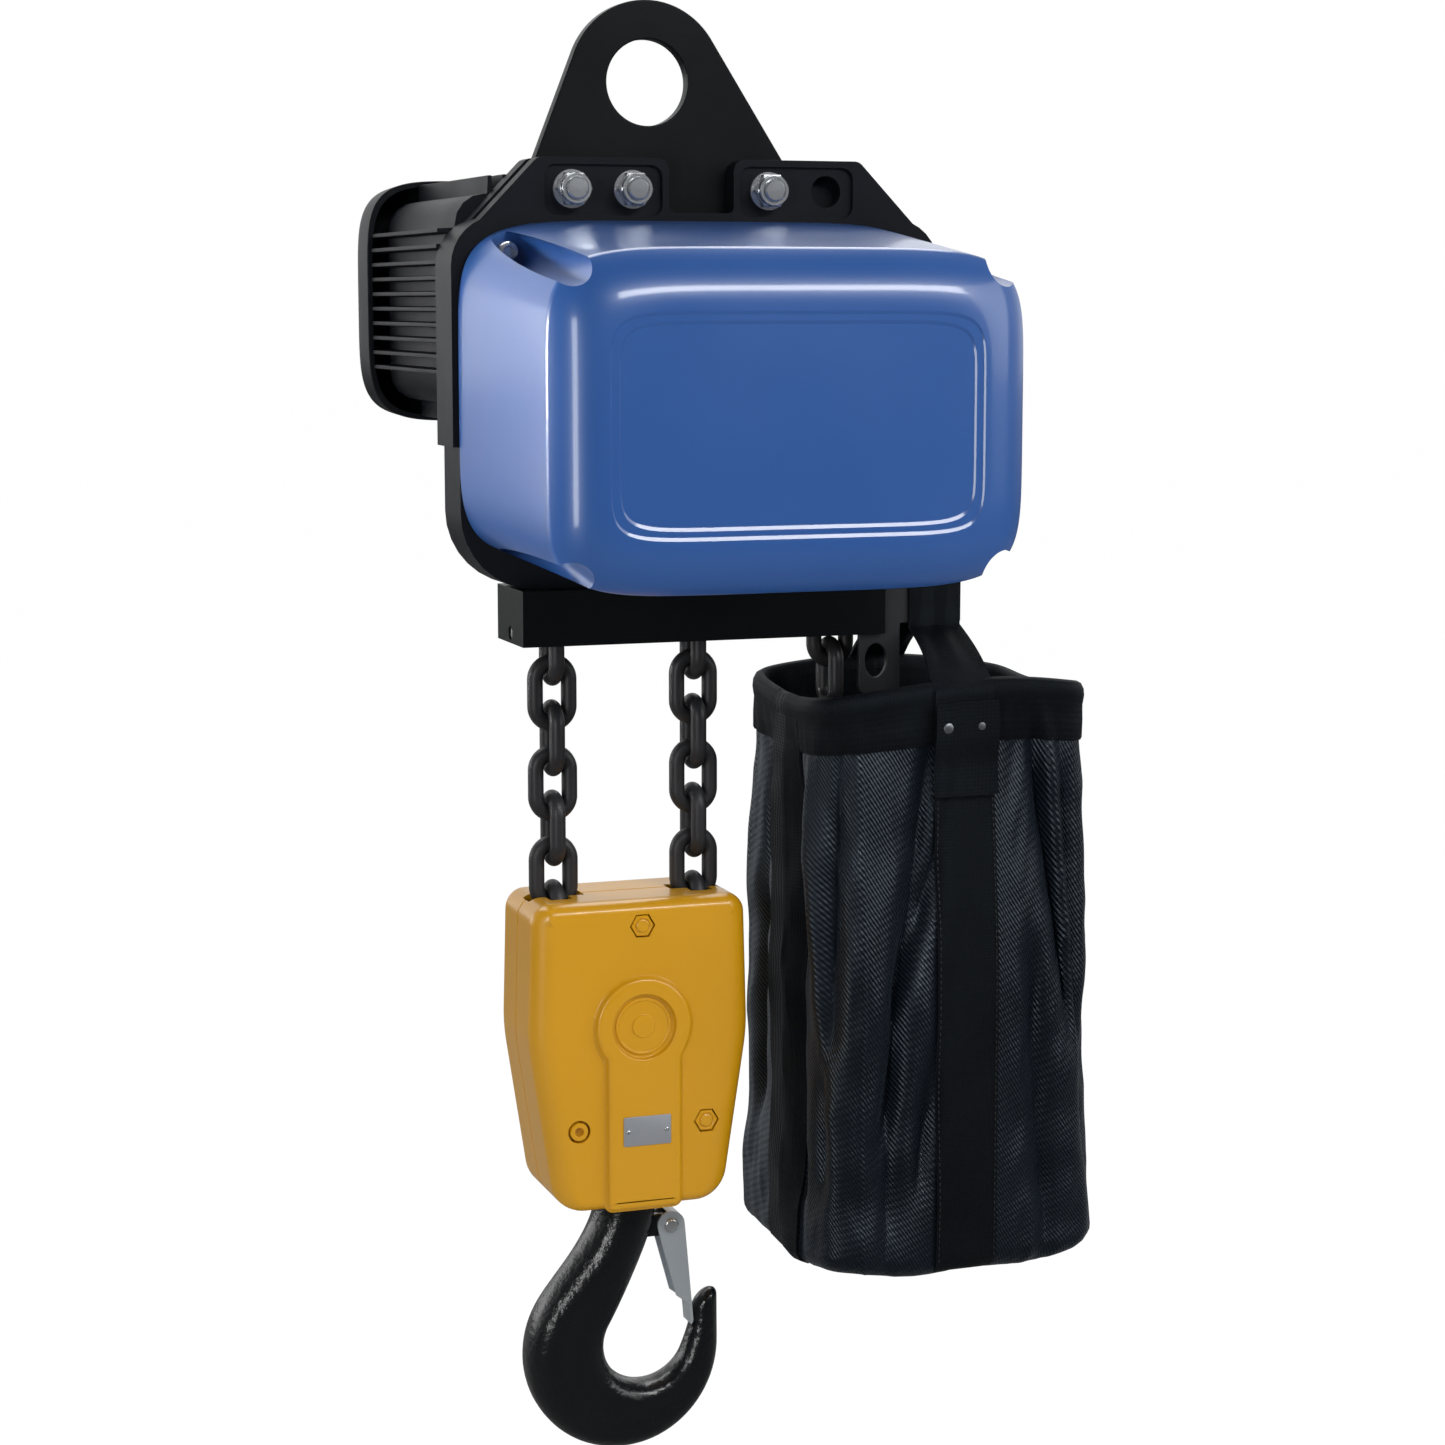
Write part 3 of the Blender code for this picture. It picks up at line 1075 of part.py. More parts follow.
def bowl_point(angle):
    """Inner edge of the hook: round in the bowl, flared out towards the tip."""
    past = max(0.0, (angle - HOOK_FLARE_ANGLE) / (HOOK_TIP_ANGLE - HOOK_FLARE_ANGLE))
    return hook_point(HOOK_BOWL_CENTRE, HOOK_BOWL_RADIUS + HOOK_TIP_FLARE * past ** 2, angle)


def outer_point(angle):
    """Outer edge of the hook: round behind the bowl, straight up beside the tip."""
    upright = math.cos(math.radians(max(0.0, angle - 360)))
    return hook_point(HOOK_OUTER_CENTRE, HOOK_OUTER_RADIUS / upright, angle)


def hook_stations():
    """Outer edge, inner edge and half thickness along the hook, from its neck to its tip."""
    neck = BLOCK_BOTTOM - 2 * GAP
    down = Vector((0, -HOOK_NECK_PULL))
    back = math.radians(HOOK_BACK_ANGLE)
    along = Vector((-math.sin(back), math.cos(back))) * HOOK_NECK_PULL
    stations = []
    for k in range(7):
        t = k / 7
        outer = hermite(Vector((LOAD_X - NECK_RADIUS, neck)), down, outer_point(HOOK_BACK_ANGLE), along, t)
        inner = hermite(Vector((LOAD_X + NECK_RADIUS, neck)), down, bowl_point(HOOK_BACK_ANGLE), along, t)
        stations.append((outer, inner, NECK_RADIUS))
    steps = 12
    for k in range(steps + 1):
        t = k / steps
        angle = HOOK_BACK_ANGLE + (HOOK_TIP_ANGLE - HOOK_BACK_ANGLE) * t
        thickness = NECK_RADIUS + (HOOK_TIP_RADIUS - NECK_RADIUS) * t ** 2
        stations.append((outer_point(angle), bowl_point(angle), thickness))
    outer, inner, thickness = stations[-1]
    middle = (outer + inner) / 2
    ahead = (middle - (stations[-2][0] + stations[-2][1]) / 2).normalized() * HOOK_TIP_RADIUS
    for share in (0.75, 0.35):
        lift = ahead * math.sqrt(1 - share ** 2)
        stations.append((middle + (outer - middle) * share + lift, middle + (inner - middle) * share + lift,
                         thickness * share))
    return stations


def latch_points():
    """Latch pivot and the middle of its nose, which rests inside the tip of the hook."""
    pivot = Vector((LOAD_X + LATCH_PIVOT[0], BLOCK_BOTTOM + LATCH_PIVOT[1]))
    rest = bowl_point(LATCH_REST_ANGLE)
    return pivot, rest - Vector((LATCH_TIP_RADIUS + 2 * GAP, 0))


def make_hook():
    shank_top = BLOCK_BOTTOM + BLOCK_FLOOR + BEARING_HEIGHT + HOOK_NUT_HEIGHT + 4 * GAP
    neck = BLOCK_BOTTOM - 2 * GAP
    sides = 12
    stations = [(Vector((LOAD_X - SHANK_RADIUS, z)), Vector((LOAD_X + SHANK_RADIUS, z)), SHANK_RADIUS)
                for z in (shank_top, neck)]
    rings = []
    for outer, inner, thickness in stations + hook_stations():
        middle = (outer + inner) / 2
        reach = (outer - inner) / 2
        ring = []
        for i in range(sides):
            a = 2 * math.pi * i / sides
            place = middle + reach * math.cos(a)
            ring.append(Vector((place.x, thickness * math.sin(a), place.y)))
        rings.append(ring)
    mesh = loft(rings)
    pivot = latch_points()[0]
    ear_radius = LATCH_HEAD_RADIUS - LATCH_SHEET - 2 * GAP
    root = Vector((LOAD_X + NECK_RADIUS / 2, pivot.y))
    ear_face = LATCH_HALF_WIDTH - LATCH_SHEET - GAP
    ear = prism(hull(circle(pivot, ear_radius, 16), circle(root, ear_radius, 16)), -ear_face, GAP)
    mesh = cut(join(mesh, ear), cylinder(pivot, LATCH_PIN_RADIUS + GAP, -2 * ear_face, 2 * ear_face, 16))
    piece("hook", mesh, BLACK_STEEL, (LOAD_X, 0, BLOCK_BOTTOM), 40)
    nut_bottom = BLOCK_BOTTOM + BLOCK_FLOOR + BEARING_HEIGHT + 3 * GAP
    corners = [Vector((LOAD_X + HOOK_NUT_RADIUS * math.cos(math.pi * k / 3),
                       HOOK_NUT_RADIUS * math.sin(math.pi * k / 3))) for k in range(6)]
    nut = loft([[Vector((c.x, c.y, z)) for c in corners]
                for z in (nut_bottom, nut_bottom + HOOK_NUT_HEIGHT)])
    nut = cut(nut, rod((LOAD_X, 0, nut_bottom - SWEEP_GAP), (LOAD_X, 0, shank_top + SWEEP_GAP),
                       SHANK_RADIUS + GAP, 24))
    piece("hook_nut", nut, BARE_STEEL, (LOAD_X, 0, BLOCK_BOTTOM))


def make_latch():
    pivot, nose = latch_points()
    origin = (pivot.x, 0, pivot.y)
    along = (nose - pivot).normalized()
    outline = hull(circle(pivot, LATCH_HEAD_RADIUS, 20), circle(nose, LATCH_TIP_RADIUS, 12))
    head = LATCH_HEAD_RADIUS - LATCH_SHEET
    tip = LATCH_TIP_RADIUS - LATCH_SHEET
    away = Vector((-3, 1)) * LATCH_HEAD_RADIUS
    channel = hull(circle(pivot, head, 20), circle(nose, tip, 12), circle(pivot + away, head, 20),
                   circle(nose + away, tip, 12))
    cheek = LATCH_HALF_WIDTH - LATCH_SHEET
    mesh = cut(prism(outline, -LATCH_HALF_WIDTH, LATCH_HALF_WIDTH), prism(channel, -cheek, cheek),
               cylinder(pivot, LATCH_PIN_RADIUS + GAP, -2 * cheek, 2 * cheek, 16))
    piece("latch", mesh, ZINC, origin)
    pin_half = LATCH_HALF_WIDTH + LATCH_SHEET
    piece("latch_pin", cylinder(pivot, LATCH_PIN_RADIUS, -pin_half, pin_half, 16), ZINC, origin)
    make_latch_spring(pivot, along, cheek, origin)


def make_latch_spring(pivot, along, cheek, origin):
    """Torsion spring round the pin, with a leg along the inside of the latch."""
    sides = 6
    steps = 10 * SPRING_TURNS
    start_y = SPRING_WIRE / 2 + 3 * GAP
    rise = cheek - SPRING_WIRE / 2 - GAP - start_y
    end_angle = math.atan2(along.x, -along.y)
    path = []
    for k in range(steps + 1):
        a = end_angle + 2 * math.pi * SPRING_TURNS * (1 - k / steps)
        path.append(Vector((pivot.x + SPRING_RADIUS * math.cos(a), start_y + rise * k / steps,
                            pivot.y + SPRING_RADIUS * math.sin(a))))
    leg = Vector((along.x, 0, along.y)) * LATCH_HEAD_RADIUS
    path += [path[-1] + leg * 0.6, path[-1] + leg * 1.2]
    rings = []
    for k, centre in enumerate(path):
        before = path[max(k - 1, 0)]
        after = path[min(k + 1, len(path) - 1)]
        tangent = (after - before).normalized()
        side = tangent.cross(Vector((0, 1, 0))).normalized()
        over = tangent.cross(side)
        rings.append([centre + SPRING_WIRE / 2 * (side * math.cos(2 * math.pi * i / sides)
                                                 + over * math.sin(2 * math.pi * i / sides))
                      for i in range(sides)])
    piece("latch_spring", loft(rings), BARE_STEEL, origin)


# Chain bag, its sling and its bracket
def bag_halves(drop):
    """Half sizes of the bag at a distance below its rim."""
    fill = min(1.0, drop / BAG_BELLY_DROP)
    return [rim + (belly - rim) * fill for rim, belly in zip(BAG_RIM_HALF, BAG_BELLY_HALF)]


def bag_levels():
    """Drop below the rim, inset and tilt of every section of the bag, from its bottom to its rim."""
    levels = []
    for angle in (90, 60, 30, 0):
        a = math.radians(angle)
        rise = BAG_CORNER_RADIUS * (1 - math.sin(a))
        levels.append((BAG_HEIGHT - rise, BAG_CORNER_RADIUS * (1 - math.cos(a)), a))
    low = BAG_HEIGHT - BAG_CORNER_RADIUS
    for drop in ((low + BAG_BELLY_DROP) / 2, BAG_BELLY_DROP, (BAG_HEM + BAG_BELLY_DROP) / 2, BAG_HEM, 0):
        levels.append((drop, 0, 0))
    return levels


def bag_section(drop, shrink):
    """Outline of the bag at a distance below its rim, drawn in by slanting folds."""
    outline = squircle((BAG_X, 0), [half - shrink for half in bag_halves(drop)], BAG_SQUARENESS, 40)
    share = max(0.0, drop - BAG_HEM) / (BAG_HEIGHT - BAG_HEM)
    depth = BAG_FOLD_DEPTH * math.sin(math.pi * share)
    ring = []
    for k, p in enumerate(outline):
        a = 2 * math.pi * (k + 0.5) / len(outline) + BAG_FOLD_SLANT * share
        out = Vector((p.x - BAG_X, p.y)).normalized()
        fold = depth * (1 - math.cos(BAG_FOLDS * a)) / 2
        ring.append(Vector((p.x - out.x * fold, p.y - out.y * fold, BAG_RIM_Z - drop)))
    return ring


def make_chain_bag():
    outer = [bag_section(drop, shrink) for drop, shrink, tilt in bag_levels()]
    floor = BAG_HEIGHT - BAG_CLOTH
    inner = [bag_section(min(drop, floor), shrink + BAG_CLOTH) for drop, shrink, tilt in bag_levels()]
    piece("chain_bag", loft(outer + inner[::-1]), BAG_FABRIC)


def make_bag_sling():
    """Webbing loop that hangs on the bracket's arm and runs under the bag."""
    out = SLING_THICKNESS / 2 + GAP
    front = [(ARM_HALF_DEPTH + out, ARM_TOP + out, SLING_TOP_WIDTH),
             (ARM_HALF_DEPTH + out, ARM_BOTTOM - out, SLING_TOP_WIDTH),
             (BAG_RIM_HALF[1] + out, BAG_RIM_Z + out, SLING_WIDTH)]
    for drop, shrink, tilt in reversed(bag_levels()[:-1]):
        clear = out + SLING_SLACK
        front.append((bag_halves(drop)[1] - shrink + clear * math.cos(tilt),
                      BAG_RIM_Z - drop - clear * math.sin(tilt), SLING_WIDTH))
    path = [(-y, z, width) for y, z, width in front] + [(y, z, width) for y, z, width in reversed(front)]
    rings = []
    count = len(path)
    for k, (y, z, width) in enumerate(path):
        before = path[k - 1]
        after = path[(k + 1) % count]
        first = Vector((y - before[0], z - before[1])).normalized()
        second = Vector((after[0] - y, after[1] - z)).normalized()
        along = (first + second).normalized()
        normal = Vector((-along.y, along.x))
        reach = SLING_THICKNESS / 2 / max(0.6, normal.dot(Vector((-first.y, first.x))))
        ring = []
        for side, outward in ((-1, -1), (1, -1), (1, 1), (-1, 1)):
            ring.append(Vector((SLING_X + side * width / 2, y + normal.x * outward * reach,
                                z + normal.y * outward * reach)))
        rings.append(ring)
    piece("bag_sling", loft(rings, closed=True), BAG_FABRIC)


def make_bag_bracket():
    """Arm bolted to the end of the guide bar, with a tongue that hangs below the bar."""
    mesh = box((ARM_LEFT, -ARM_HALF_DEPTH, ARM_BOTTOM), (ARM_LEFT + ARM_LENGTH, ARM_HALF_DEPTH, ARM_TOP))
    low = BAR_BOTTOM - TONGUE_LENGTH
    left = ARM_LEFT - TONGUE_REACH[0]
    right = ARM_LEFT + TONGUE_REACH[1]
    corners = [(left, low), (right, low), (right, ARM_BOTTOM + TONGUE_THICKNESS),
               (ARM_LEFT, ARM_BOTTOM + TONGUE_THICKNESS), (ARM_LEFT, BAR_BOTTOM - GAP),
               (left, BAR_BOTTOM - GAP)]
    radii = [TONGUE_THICKNESS, TONGUE_THICKNESS, 0, 0, 0, 0]
    front = -ARM_HALF_DEPTH
    mesh = join(mesh, prism(rounded(corners, radii, 3), front, front + TONGUE_THICKNESS))
    wide, tall = TONGUE_HOLE_HALF
    ellipse = [Vector((left + wide * (1.5 + p.x), low + TONGUE_HOLE_RISE + tall * p.y))
               for p in circle((0, 0), 1, 20)]
    mesh = cut(mesh, prism(ellipse, front - SWEEP_GAP, front + TONGUE_THICKNESS + SWEEP_GAP))
    piece("bag_bracket", mesh, BLACK_STEEL)


def main():
    for item in list(bpy.data.objects):
        bpy.data.objects.remove(item)
    make_suspension_plate()
    make_suspension_bolts()
    make_main_housing()
    make_control_cover()
    make_cover_gasket()
    make_cover_screws()
    make_gear_lid()
    make_control_unit()
    make_motor_housing()
    make_motor_end_cover()
    make_stator()
    make_motor_rotor()
    make_brake()
    make_reduction_gear()
    make_load_wheel()
    make_chain_guide_bar()
    make_chain()
    make_block()
    make_hook()
    make_latch()
    make_chain_bag()
    make_bag_sling()
    make_bag_bracket()


main()
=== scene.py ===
"""Looks of the electric chain hoist: finishes, smooth casings, chain, hook and fabric bag."""
import bisect
from math import acos, atan2, copysign, cos, degrees, exp, pi, radians, sin, tan

import bmesh
import bpy
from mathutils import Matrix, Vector, noise


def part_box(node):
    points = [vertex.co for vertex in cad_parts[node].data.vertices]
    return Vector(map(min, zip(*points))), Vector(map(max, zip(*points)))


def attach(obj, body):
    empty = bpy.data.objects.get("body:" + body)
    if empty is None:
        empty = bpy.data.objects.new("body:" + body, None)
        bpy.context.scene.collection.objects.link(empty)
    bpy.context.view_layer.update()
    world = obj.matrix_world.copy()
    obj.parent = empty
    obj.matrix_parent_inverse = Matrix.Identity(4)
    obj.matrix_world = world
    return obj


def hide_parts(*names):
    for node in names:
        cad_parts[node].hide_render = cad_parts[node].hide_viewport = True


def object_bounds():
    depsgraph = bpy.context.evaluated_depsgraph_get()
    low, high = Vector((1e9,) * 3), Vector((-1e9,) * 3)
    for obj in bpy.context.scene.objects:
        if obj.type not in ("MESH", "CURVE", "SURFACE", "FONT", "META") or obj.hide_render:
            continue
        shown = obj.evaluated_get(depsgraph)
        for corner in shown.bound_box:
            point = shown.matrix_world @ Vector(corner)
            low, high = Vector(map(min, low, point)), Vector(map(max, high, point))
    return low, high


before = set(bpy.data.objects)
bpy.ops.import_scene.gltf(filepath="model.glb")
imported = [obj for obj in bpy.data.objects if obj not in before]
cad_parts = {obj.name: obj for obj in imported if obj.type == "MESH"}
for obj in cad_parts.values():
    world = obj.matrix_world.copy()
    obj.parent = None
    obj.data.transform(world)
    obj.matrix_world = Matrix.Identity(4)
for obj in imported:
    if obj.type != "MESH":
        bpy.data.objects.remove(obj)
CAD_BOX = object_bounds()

MM = 0.001

# Camera of the photograph
CAMERA_AT = (-0.6885, -2.1258, -0.1575)
CAMERA_AHEAD = (0.3289, 0.9341, -0.1392)
CAMERA_LENS = 74.74

# Suspension plate
EYE_RADIUS = 31.0 * MM
EYE_RIM_RADIUS = 59.0 * MM
PLATE_SHOULDER_Z = -62.0 * MM
PLATE_BEVEL = 1.2 * MM

# Rounding of solids that keep their shape otherwise
EDGES = {"main_housing": 1.3 * MM, "motor_housing": 0.7 * MM, "chain_guide_bar": 1.2 * MM,
         "bag_bracket": 0.8 * MM, "latch": 0.3 * MM}

# Control cover
BODY_X = 36.0 * MM
COVER_REAR = -25.0 * MM
COVER_FRONT = -230.0 * MM
COVER_REAR_HALF = (185.0 * MM, 122.5 * MM)
COVER_FRONT_HALF = (172.0 * MM, 116.5 * MM)
COVER_REAR_Z = -222.5 * MM
COVER_FRONT_Z = -240.5 * MM
COVER_SQUARENESS = 6.0
COVER_BULGE_RADIUS = 44.0 * MM
COVER_CREASE_RADIUS = 8.0 * MM
COVER_CREASE_ANGLE = 34.0
COVER_WALL = 4.0 * MM
COVER_FLANGE = 10.0 * MM
COVER_EDGE = 0.25 * MM
SCOOP_RADIUS = 14.0 * MM
SCOOP_REAR_INSET = (33.0 * MM, 22.5 * MM)
SCOOP_FRONT_INSET = (15.0 * MM, 11.0 * MM)
PANEL_HALF = (134.0 * MM, 74.0 * MM)
PANEL_SQUARENESS = 9.0
PANEL_STEP = 0.95 * MM
PANEL_LEDGE = 6.5 * MM
PANEL_SIDE_SLOPE = 1.25 * MM
PANEL_END_SLOPE = 2.5 * MM

# Motor
END_CAP_WALL = 4.0 * MM
END_CAP_LIP = 0.8 * MM
END_CAP_OVERHANG = 0.3 * MM
END_CAP_SQUARENESS = 5.0

# Fasteners
BOLT_OFFSETS = (-98.5 * MM, -52.5 * MM, 52.5 * MM)
BOLT_Z = -77.5 * MM
PAD_FACE = -19.0 * MM
BOLT_SEAT = 15.7 * MM
SPARE_HOLE_RADIUS = 11.6 * MM
CLEARANCE = 0.3 * MM

# Chain
WIRE = 11.8 * MM
PITCH = 34.0 * MM
LINK_INNER_WIDTH = 14.2 * MM
LINK_INNER_LENGTH = 34.3 * MM
FALLS = (("dead", 7, "frame"), ("running", 9, "running_fall"), ("slack", 5, "slack_fall"))

# Hook block
LOAD_X = -19.0 * MM
BLOCK_TOP = -598.0 * MM
BLOCK_BOTTOM = -834.0 * MM
BLOCK_HALF_TOP = 83.0 * MM
BLOCK_HALF_MIDDLE = 86.0 * MM
BLOCK_HALF_BOTTOM = 66.0 * MM
BLOCK_MIDDLE_Z = -703.0 * MM
BLOCK_HALF_DEPTH = 46.0 * MM
BLOCK_EDGE_RADIUS = 13.0 * MM
BLOCK_WALL = 6.0 * MM
BLOCK_FLOOR = 26.0 * MM
BLOCK_SEAM = 0.3 * MM
BLOCK_SEAM_CHAMFER = 0.9 * MM
BLOCK_SIDE_ROUND = 19.0 * MM
BLOCK_TOP_ROUND = 9.0 * MM
SHEAVE_Z = -693.0 * MM
RELIEF_RADIUS = 37.0 * MM
RELIEF_BAND_HALF = 28.5 * MM
RELIEF_HEIGHT = 4.8 * MM
FOOT_RADIUS = 5.0 * MM
BOLT_POCKET_RADIUS = 10.0 * MM
BOLT_POCKET_DEPTH = 6.0 * MM
SOCKET_POCKET_RADIUS = 8.6 * MM
SOCKET_BOLT = 1
BLOCK_BOLTS = ((LOAD_X, -617.0 * MM), (LOAD_X - 50.0 * MM, -770.0 * MM),
               (LOAD_X + 50.0 * MM, -770.0 * MM))
FALL_REACH = 55.327 * MM
CHANNEL_HALF = 21.5 * MM
MOUTH_SLOT_HALF = 8.6 * MM
MOUTH_ROUND = 1.6 * MM
SHELL_EDGE = 0.7 * MM
BARE_PLATE_HALF = (18.5 * MM, 11.2 * MM)
BARE_PLATE_MIDDLE = (LOAD_X + 1.5 * MM, -772.0 * MM)
BARE_PLATE_RISE = 0.9 * MM
BARE_PLATE_ROUND = 1.2 * MM
BARE_PLATE_EDGE = 0.25 * MM
RIVET_REACH = 15.0 * MM

# Hook
NECK_RADIUS = 24.0 * MM
SHANK_RADIUS = 15.0 * MM
HOOK_OUTER_RADIUS = 77.5 * MM
HOOK_BOWL_RADIUS = 33.5 * MM
HOOK_OUTER_CENTRE = (-4.0 * MM, -123.0 * MM)
HOOK_BOWL_CENTRE = (13.5 * MM, -117.5 * MM)
HOOK_TIP_FLARE = 10.0 * MM
HOOK_TIP_RADIUS = 10.0 * MM
HOOK_BACK_ANGLE = 150.0
HOOK_TIP_ANGLE = 384.0
HOOK_FLARE_ANGLE = 340.0
HOOK_NECK_PULL = 86.4 * MM
HOOK_GAP = 0.6 * MM
HOOK_FLATTER = (0.14, 0.26)
HOOK_WEB_DEPTH = 0.14
HOOK_WEB_AT = -0.12
HOOK_WEB_SPREAD = 0.4
EAR_RADIUS = 8.4 * MM
EAR_EDGE = 0.8 * MM
LATCH_PIVOT = (15.0 * MM, -861.0 * MM)
LATCH_NOSE = (28.8 * MM, -938.8 * MM)
LATCH_HEAD = 11.0 * MM
LATCH_TIP = 4.0 * MM
LATCH_SHEET = 2.2 * MM
PIN_RADIUS = 4.0 * MM
PIN_HEAD_SUNK = 1.9 * MM

# Chain bag
BAG_X = 226.0 * MM
BAG_RIM_Z = -452.0 * MM
BAG_HEIGHT = 453.0 * MM
BAG_RIM_HALF = (114.0 * MM, 84.0 * MM)
BAG_BELLY_HALF = (117.0 * MM, 100.0 * MM)
BAG_SQUARENESS = 7.5
BAG_CLOTH = 2.0 * MM
BAG_TURN = 0.955
BAG_BOTTOM_RADIUS = 16.0 * MM
BAG_SAG = 3.0 * MM
BAG_ROUND = 0.80
RIM_DROOP = 8.0 * MM
BOTTOM_LIFT = 7.0 * MM
CORNER_LIFT = 8.0 * MM
SCALLOP = 1.2 * MM
SLIM_RIM = 0.13
SLIM_LOSS = 0.08
HEM_CLOTH = 1.2 * MM
SLING_X = 220.0 * MM
SLING_WIDTH = 50.0 * MM
SLING_TOP_WIDTH = 42.0 * MM
WEBBING = 2.6 * MM
SIDE_WEBBING = 2.0 * MM
STRAP_OFF = 4.6 * MM
STRAP_OVER_HEM = 3.2 * MM
STRAP_BOW = 5.0 * MM
STRAP_PLEAT = 3.4 * MM
STRAP_BULGE = 1.2 * MM
STRAP_SAG = 6.0 * MM
PATCH_OFF = 2.9 * MM
SNAP_OFF = 3.6 * MM
SNAPS = (-16.0 * MM, 10.5 * MM)
SIDE_STRAP_OFF = 3.0 * MM
SIDE_STRAP_SHARE = 0.058
PATCH_TOP = 0.02
PATCH_BOTTOM = 0.161
SNAP_DROP = 0.058
ARM_HALF_DEPTH = 30.0 * MM
ARM_TOP = -366.3 * MM
ARM_BOTTOM = -400.3 * MM
ARM_GAP = 2.4 * MM

# Studio
FLOOR_GAP = 0.06
FLOOR_REACH = 30.0
FLOOR_TONE = 0.82
FLOOR_IN_GLOSS = (0.05, 0.25)
FLOOR_GLOW = 1.04
FLOOR_GLOW_SHARE = 0.95
ROOM_LIGHT = 0.20
WALL_IN_GLOSS = (0.08, 1.0)
CEILING_IN_GLOSS = (1.0, 0.25)
LAMPS = {  # place, target, size in metres, power in watts, beam in degrees
    "key_strip": ((0.7, -1.95, 0.95), (0.05, -0.2, -0.2), (1.3, 0.30), 26.0, 180.0),
    "right_softbox": ((2.3, -1.6, 0.6), (0.05, -0.1, -0.55), (1.9, 1.9), 30.0, 180.0),
    "left_softbox": ((-1.5, -1.65, -0.25), (-0.1, -0.1, -0.4), (0.3, 1.1), 12.0, 180.0),
    "edge_snoot": ((-1.95, 0.45, -0.1), (-0.15, -0.15, -0.13), (0.5, 0.4), 0.85, 20.0),
    "rear_card": ((-1.75, 1.55, -0.35), (-0.15, -0.1, -0.25), (1.7, 1.0), 8.0, 180.0),
    "top_softbox": ((0.0, 1.1, 1.5), (0.05, -0.1, -0.3), (2.6, 1.6), 50.0, 180.0)}


# Node trees
def feed(tree, sockets, values):
    """Links or sets sockets by name or number."""
    for key, value in values.items():
        if isinstance(value, bpy.types.NodeSocket):
            tree.links.new(value, sockets[key])
        else:
            sockets[key].default_value = value


def node(tree, kind, inputs=None, **settings):
    made = tree.nodes.new(kind)
    for key, value in settings.items():
        setattr(made, key, value)
    feed(tree, made.inputs, inputs or {})
    return made


def first(tree, kind, inputs=None, **settings):
    """First output of a new node."""
    return node(tree, kind, inputs, **settings).outputs[0]


def calc(tree, operation, left, right=0.0):
    """Result of a sum on numbers or sockets."""
    return first(tree, "ShaderNodeMath", {0: left, 1: right}, operation=operation)


def times(tree, left, right):
    return calc(tree, "MULTIPLY", left, right)


def ramp(tree, value, low, high, start=0.0, end=1.0):
    """Value between low and high, mapped to one between start and end."""
    made = node(tree, "ShaderNodeMapRange", {"Value": value, "From Min": low, "From Max": high,
                                             "To Min": start, "To Max": end})
    return made.outputs["Result"]


def blotches(tree, place, scale, detail):
    made = node(tree, "ShaderNodeTexNoise", {"Vector": place, "Scale": scale, "Detail": detail})
    return made.outputs["Fac"]


def split(tree, place):
    return node(tree, "ShaderNodeSeparateXYZ", {"Vector": place}).outputs


def own_place(tree, kind="Object"):
    return node(tree, "ShaderNodeTexCoord").outputs[kind]


NUMBER_TYPES = {int: "Int", float: "Float"}


def new_tree(name, kind, inputs, outputs):
    """Node group. A socket is given as its type, or as a number that is its value too."""
    tree = bpy.data.node_groups.new(name, kind)
    for side, sockets in (("INPUT", inputs), ("OUTPUT", outputs)):
        for label, value in sockets.items():
            word = NUMBER_TYPES.get(type(value), value)
            socket = tree.interface.new_socket(name=label, in_out=side,
                                               socket_type="NodeSocket" + word)
            if value != word:
                socket.default_value = value
    return tree, tree.nodes.new("NodeGroupInput").outputs, tree.nodes.new("NodeGroupOutput").inputs


def patchy_paint_group():
    """Colour that drifts a little over the surface, with a fine grain for gloss and bump."""
    tree, given, out = new_tree(
        "patchy_paint", "ShaderNodeTree",
        {"Colour": "Color", "Drift": 0.1, "Patch Scale": 9.0, "Grain Scale": 400.0,
         "Gloss Low": 0.2, "Gloss High": 0.3},
        {"Colour": "Color", "Roughness": "Float", "Height": "Float"})
    place = own_place(tree)
    patch = blotches(tree, place, given["Patch Scale"], 5.0)
    swing = times(tree, calc(tree, "SUBTRACT", patch, 0.5), given["Drift"])
    value = calc(tree, "ADD", times(tree, swing, 4.0), 1.0)
    tone = node(tree, "ShaderNodeHueSaturation", {"Color": given["Colour"], "Value": value})
    feed(tree, out, {
        "Colour": tone.outputs["Color"],
        "Roughness": ramp(tree, patch, 0.3, 0.7, given["Gloss Low"], given["Gloss High"]),
        "Height": blotches(tree, place, given["Grain Scale"], 3.0)})
    return tree


def scuffs_group():
    """Mask of thin stretched marks, for wear on painted and plated metal."""
    tree, given, out = new_tree("scuffs", "ShaderNodeTree", {"Scale": 30.0, "Amount": 0.3},
                                {"Mask": "Float"})
    place = own_place(tree)
    stretch = node(tree, "ShaderNodeMapping", {"Vector": place, "Rotation": (0.4, 0.7, 0.3),
                                               "Scale": (1.0, 6.0, 14.0)})
    streak = blotches(tree, stretch.outputs["Vector"], given["Scale"], 4.0)
    area = ramp(tree, blotches(tree, place, 6.0, 2.0), 0.45, 0.65)
    both = times(tree, ramp(tree, streak, 0.62, 0.72), area)
    feed(tree, out, {"Mask": times(tree, both, given["Amount"])})
    return tree


# Waves of the weave, in radians per thread
ACROSS_PACE = 6.2832
ALONG_PACE = 2.6
ALONG_DEPTH = 0.35


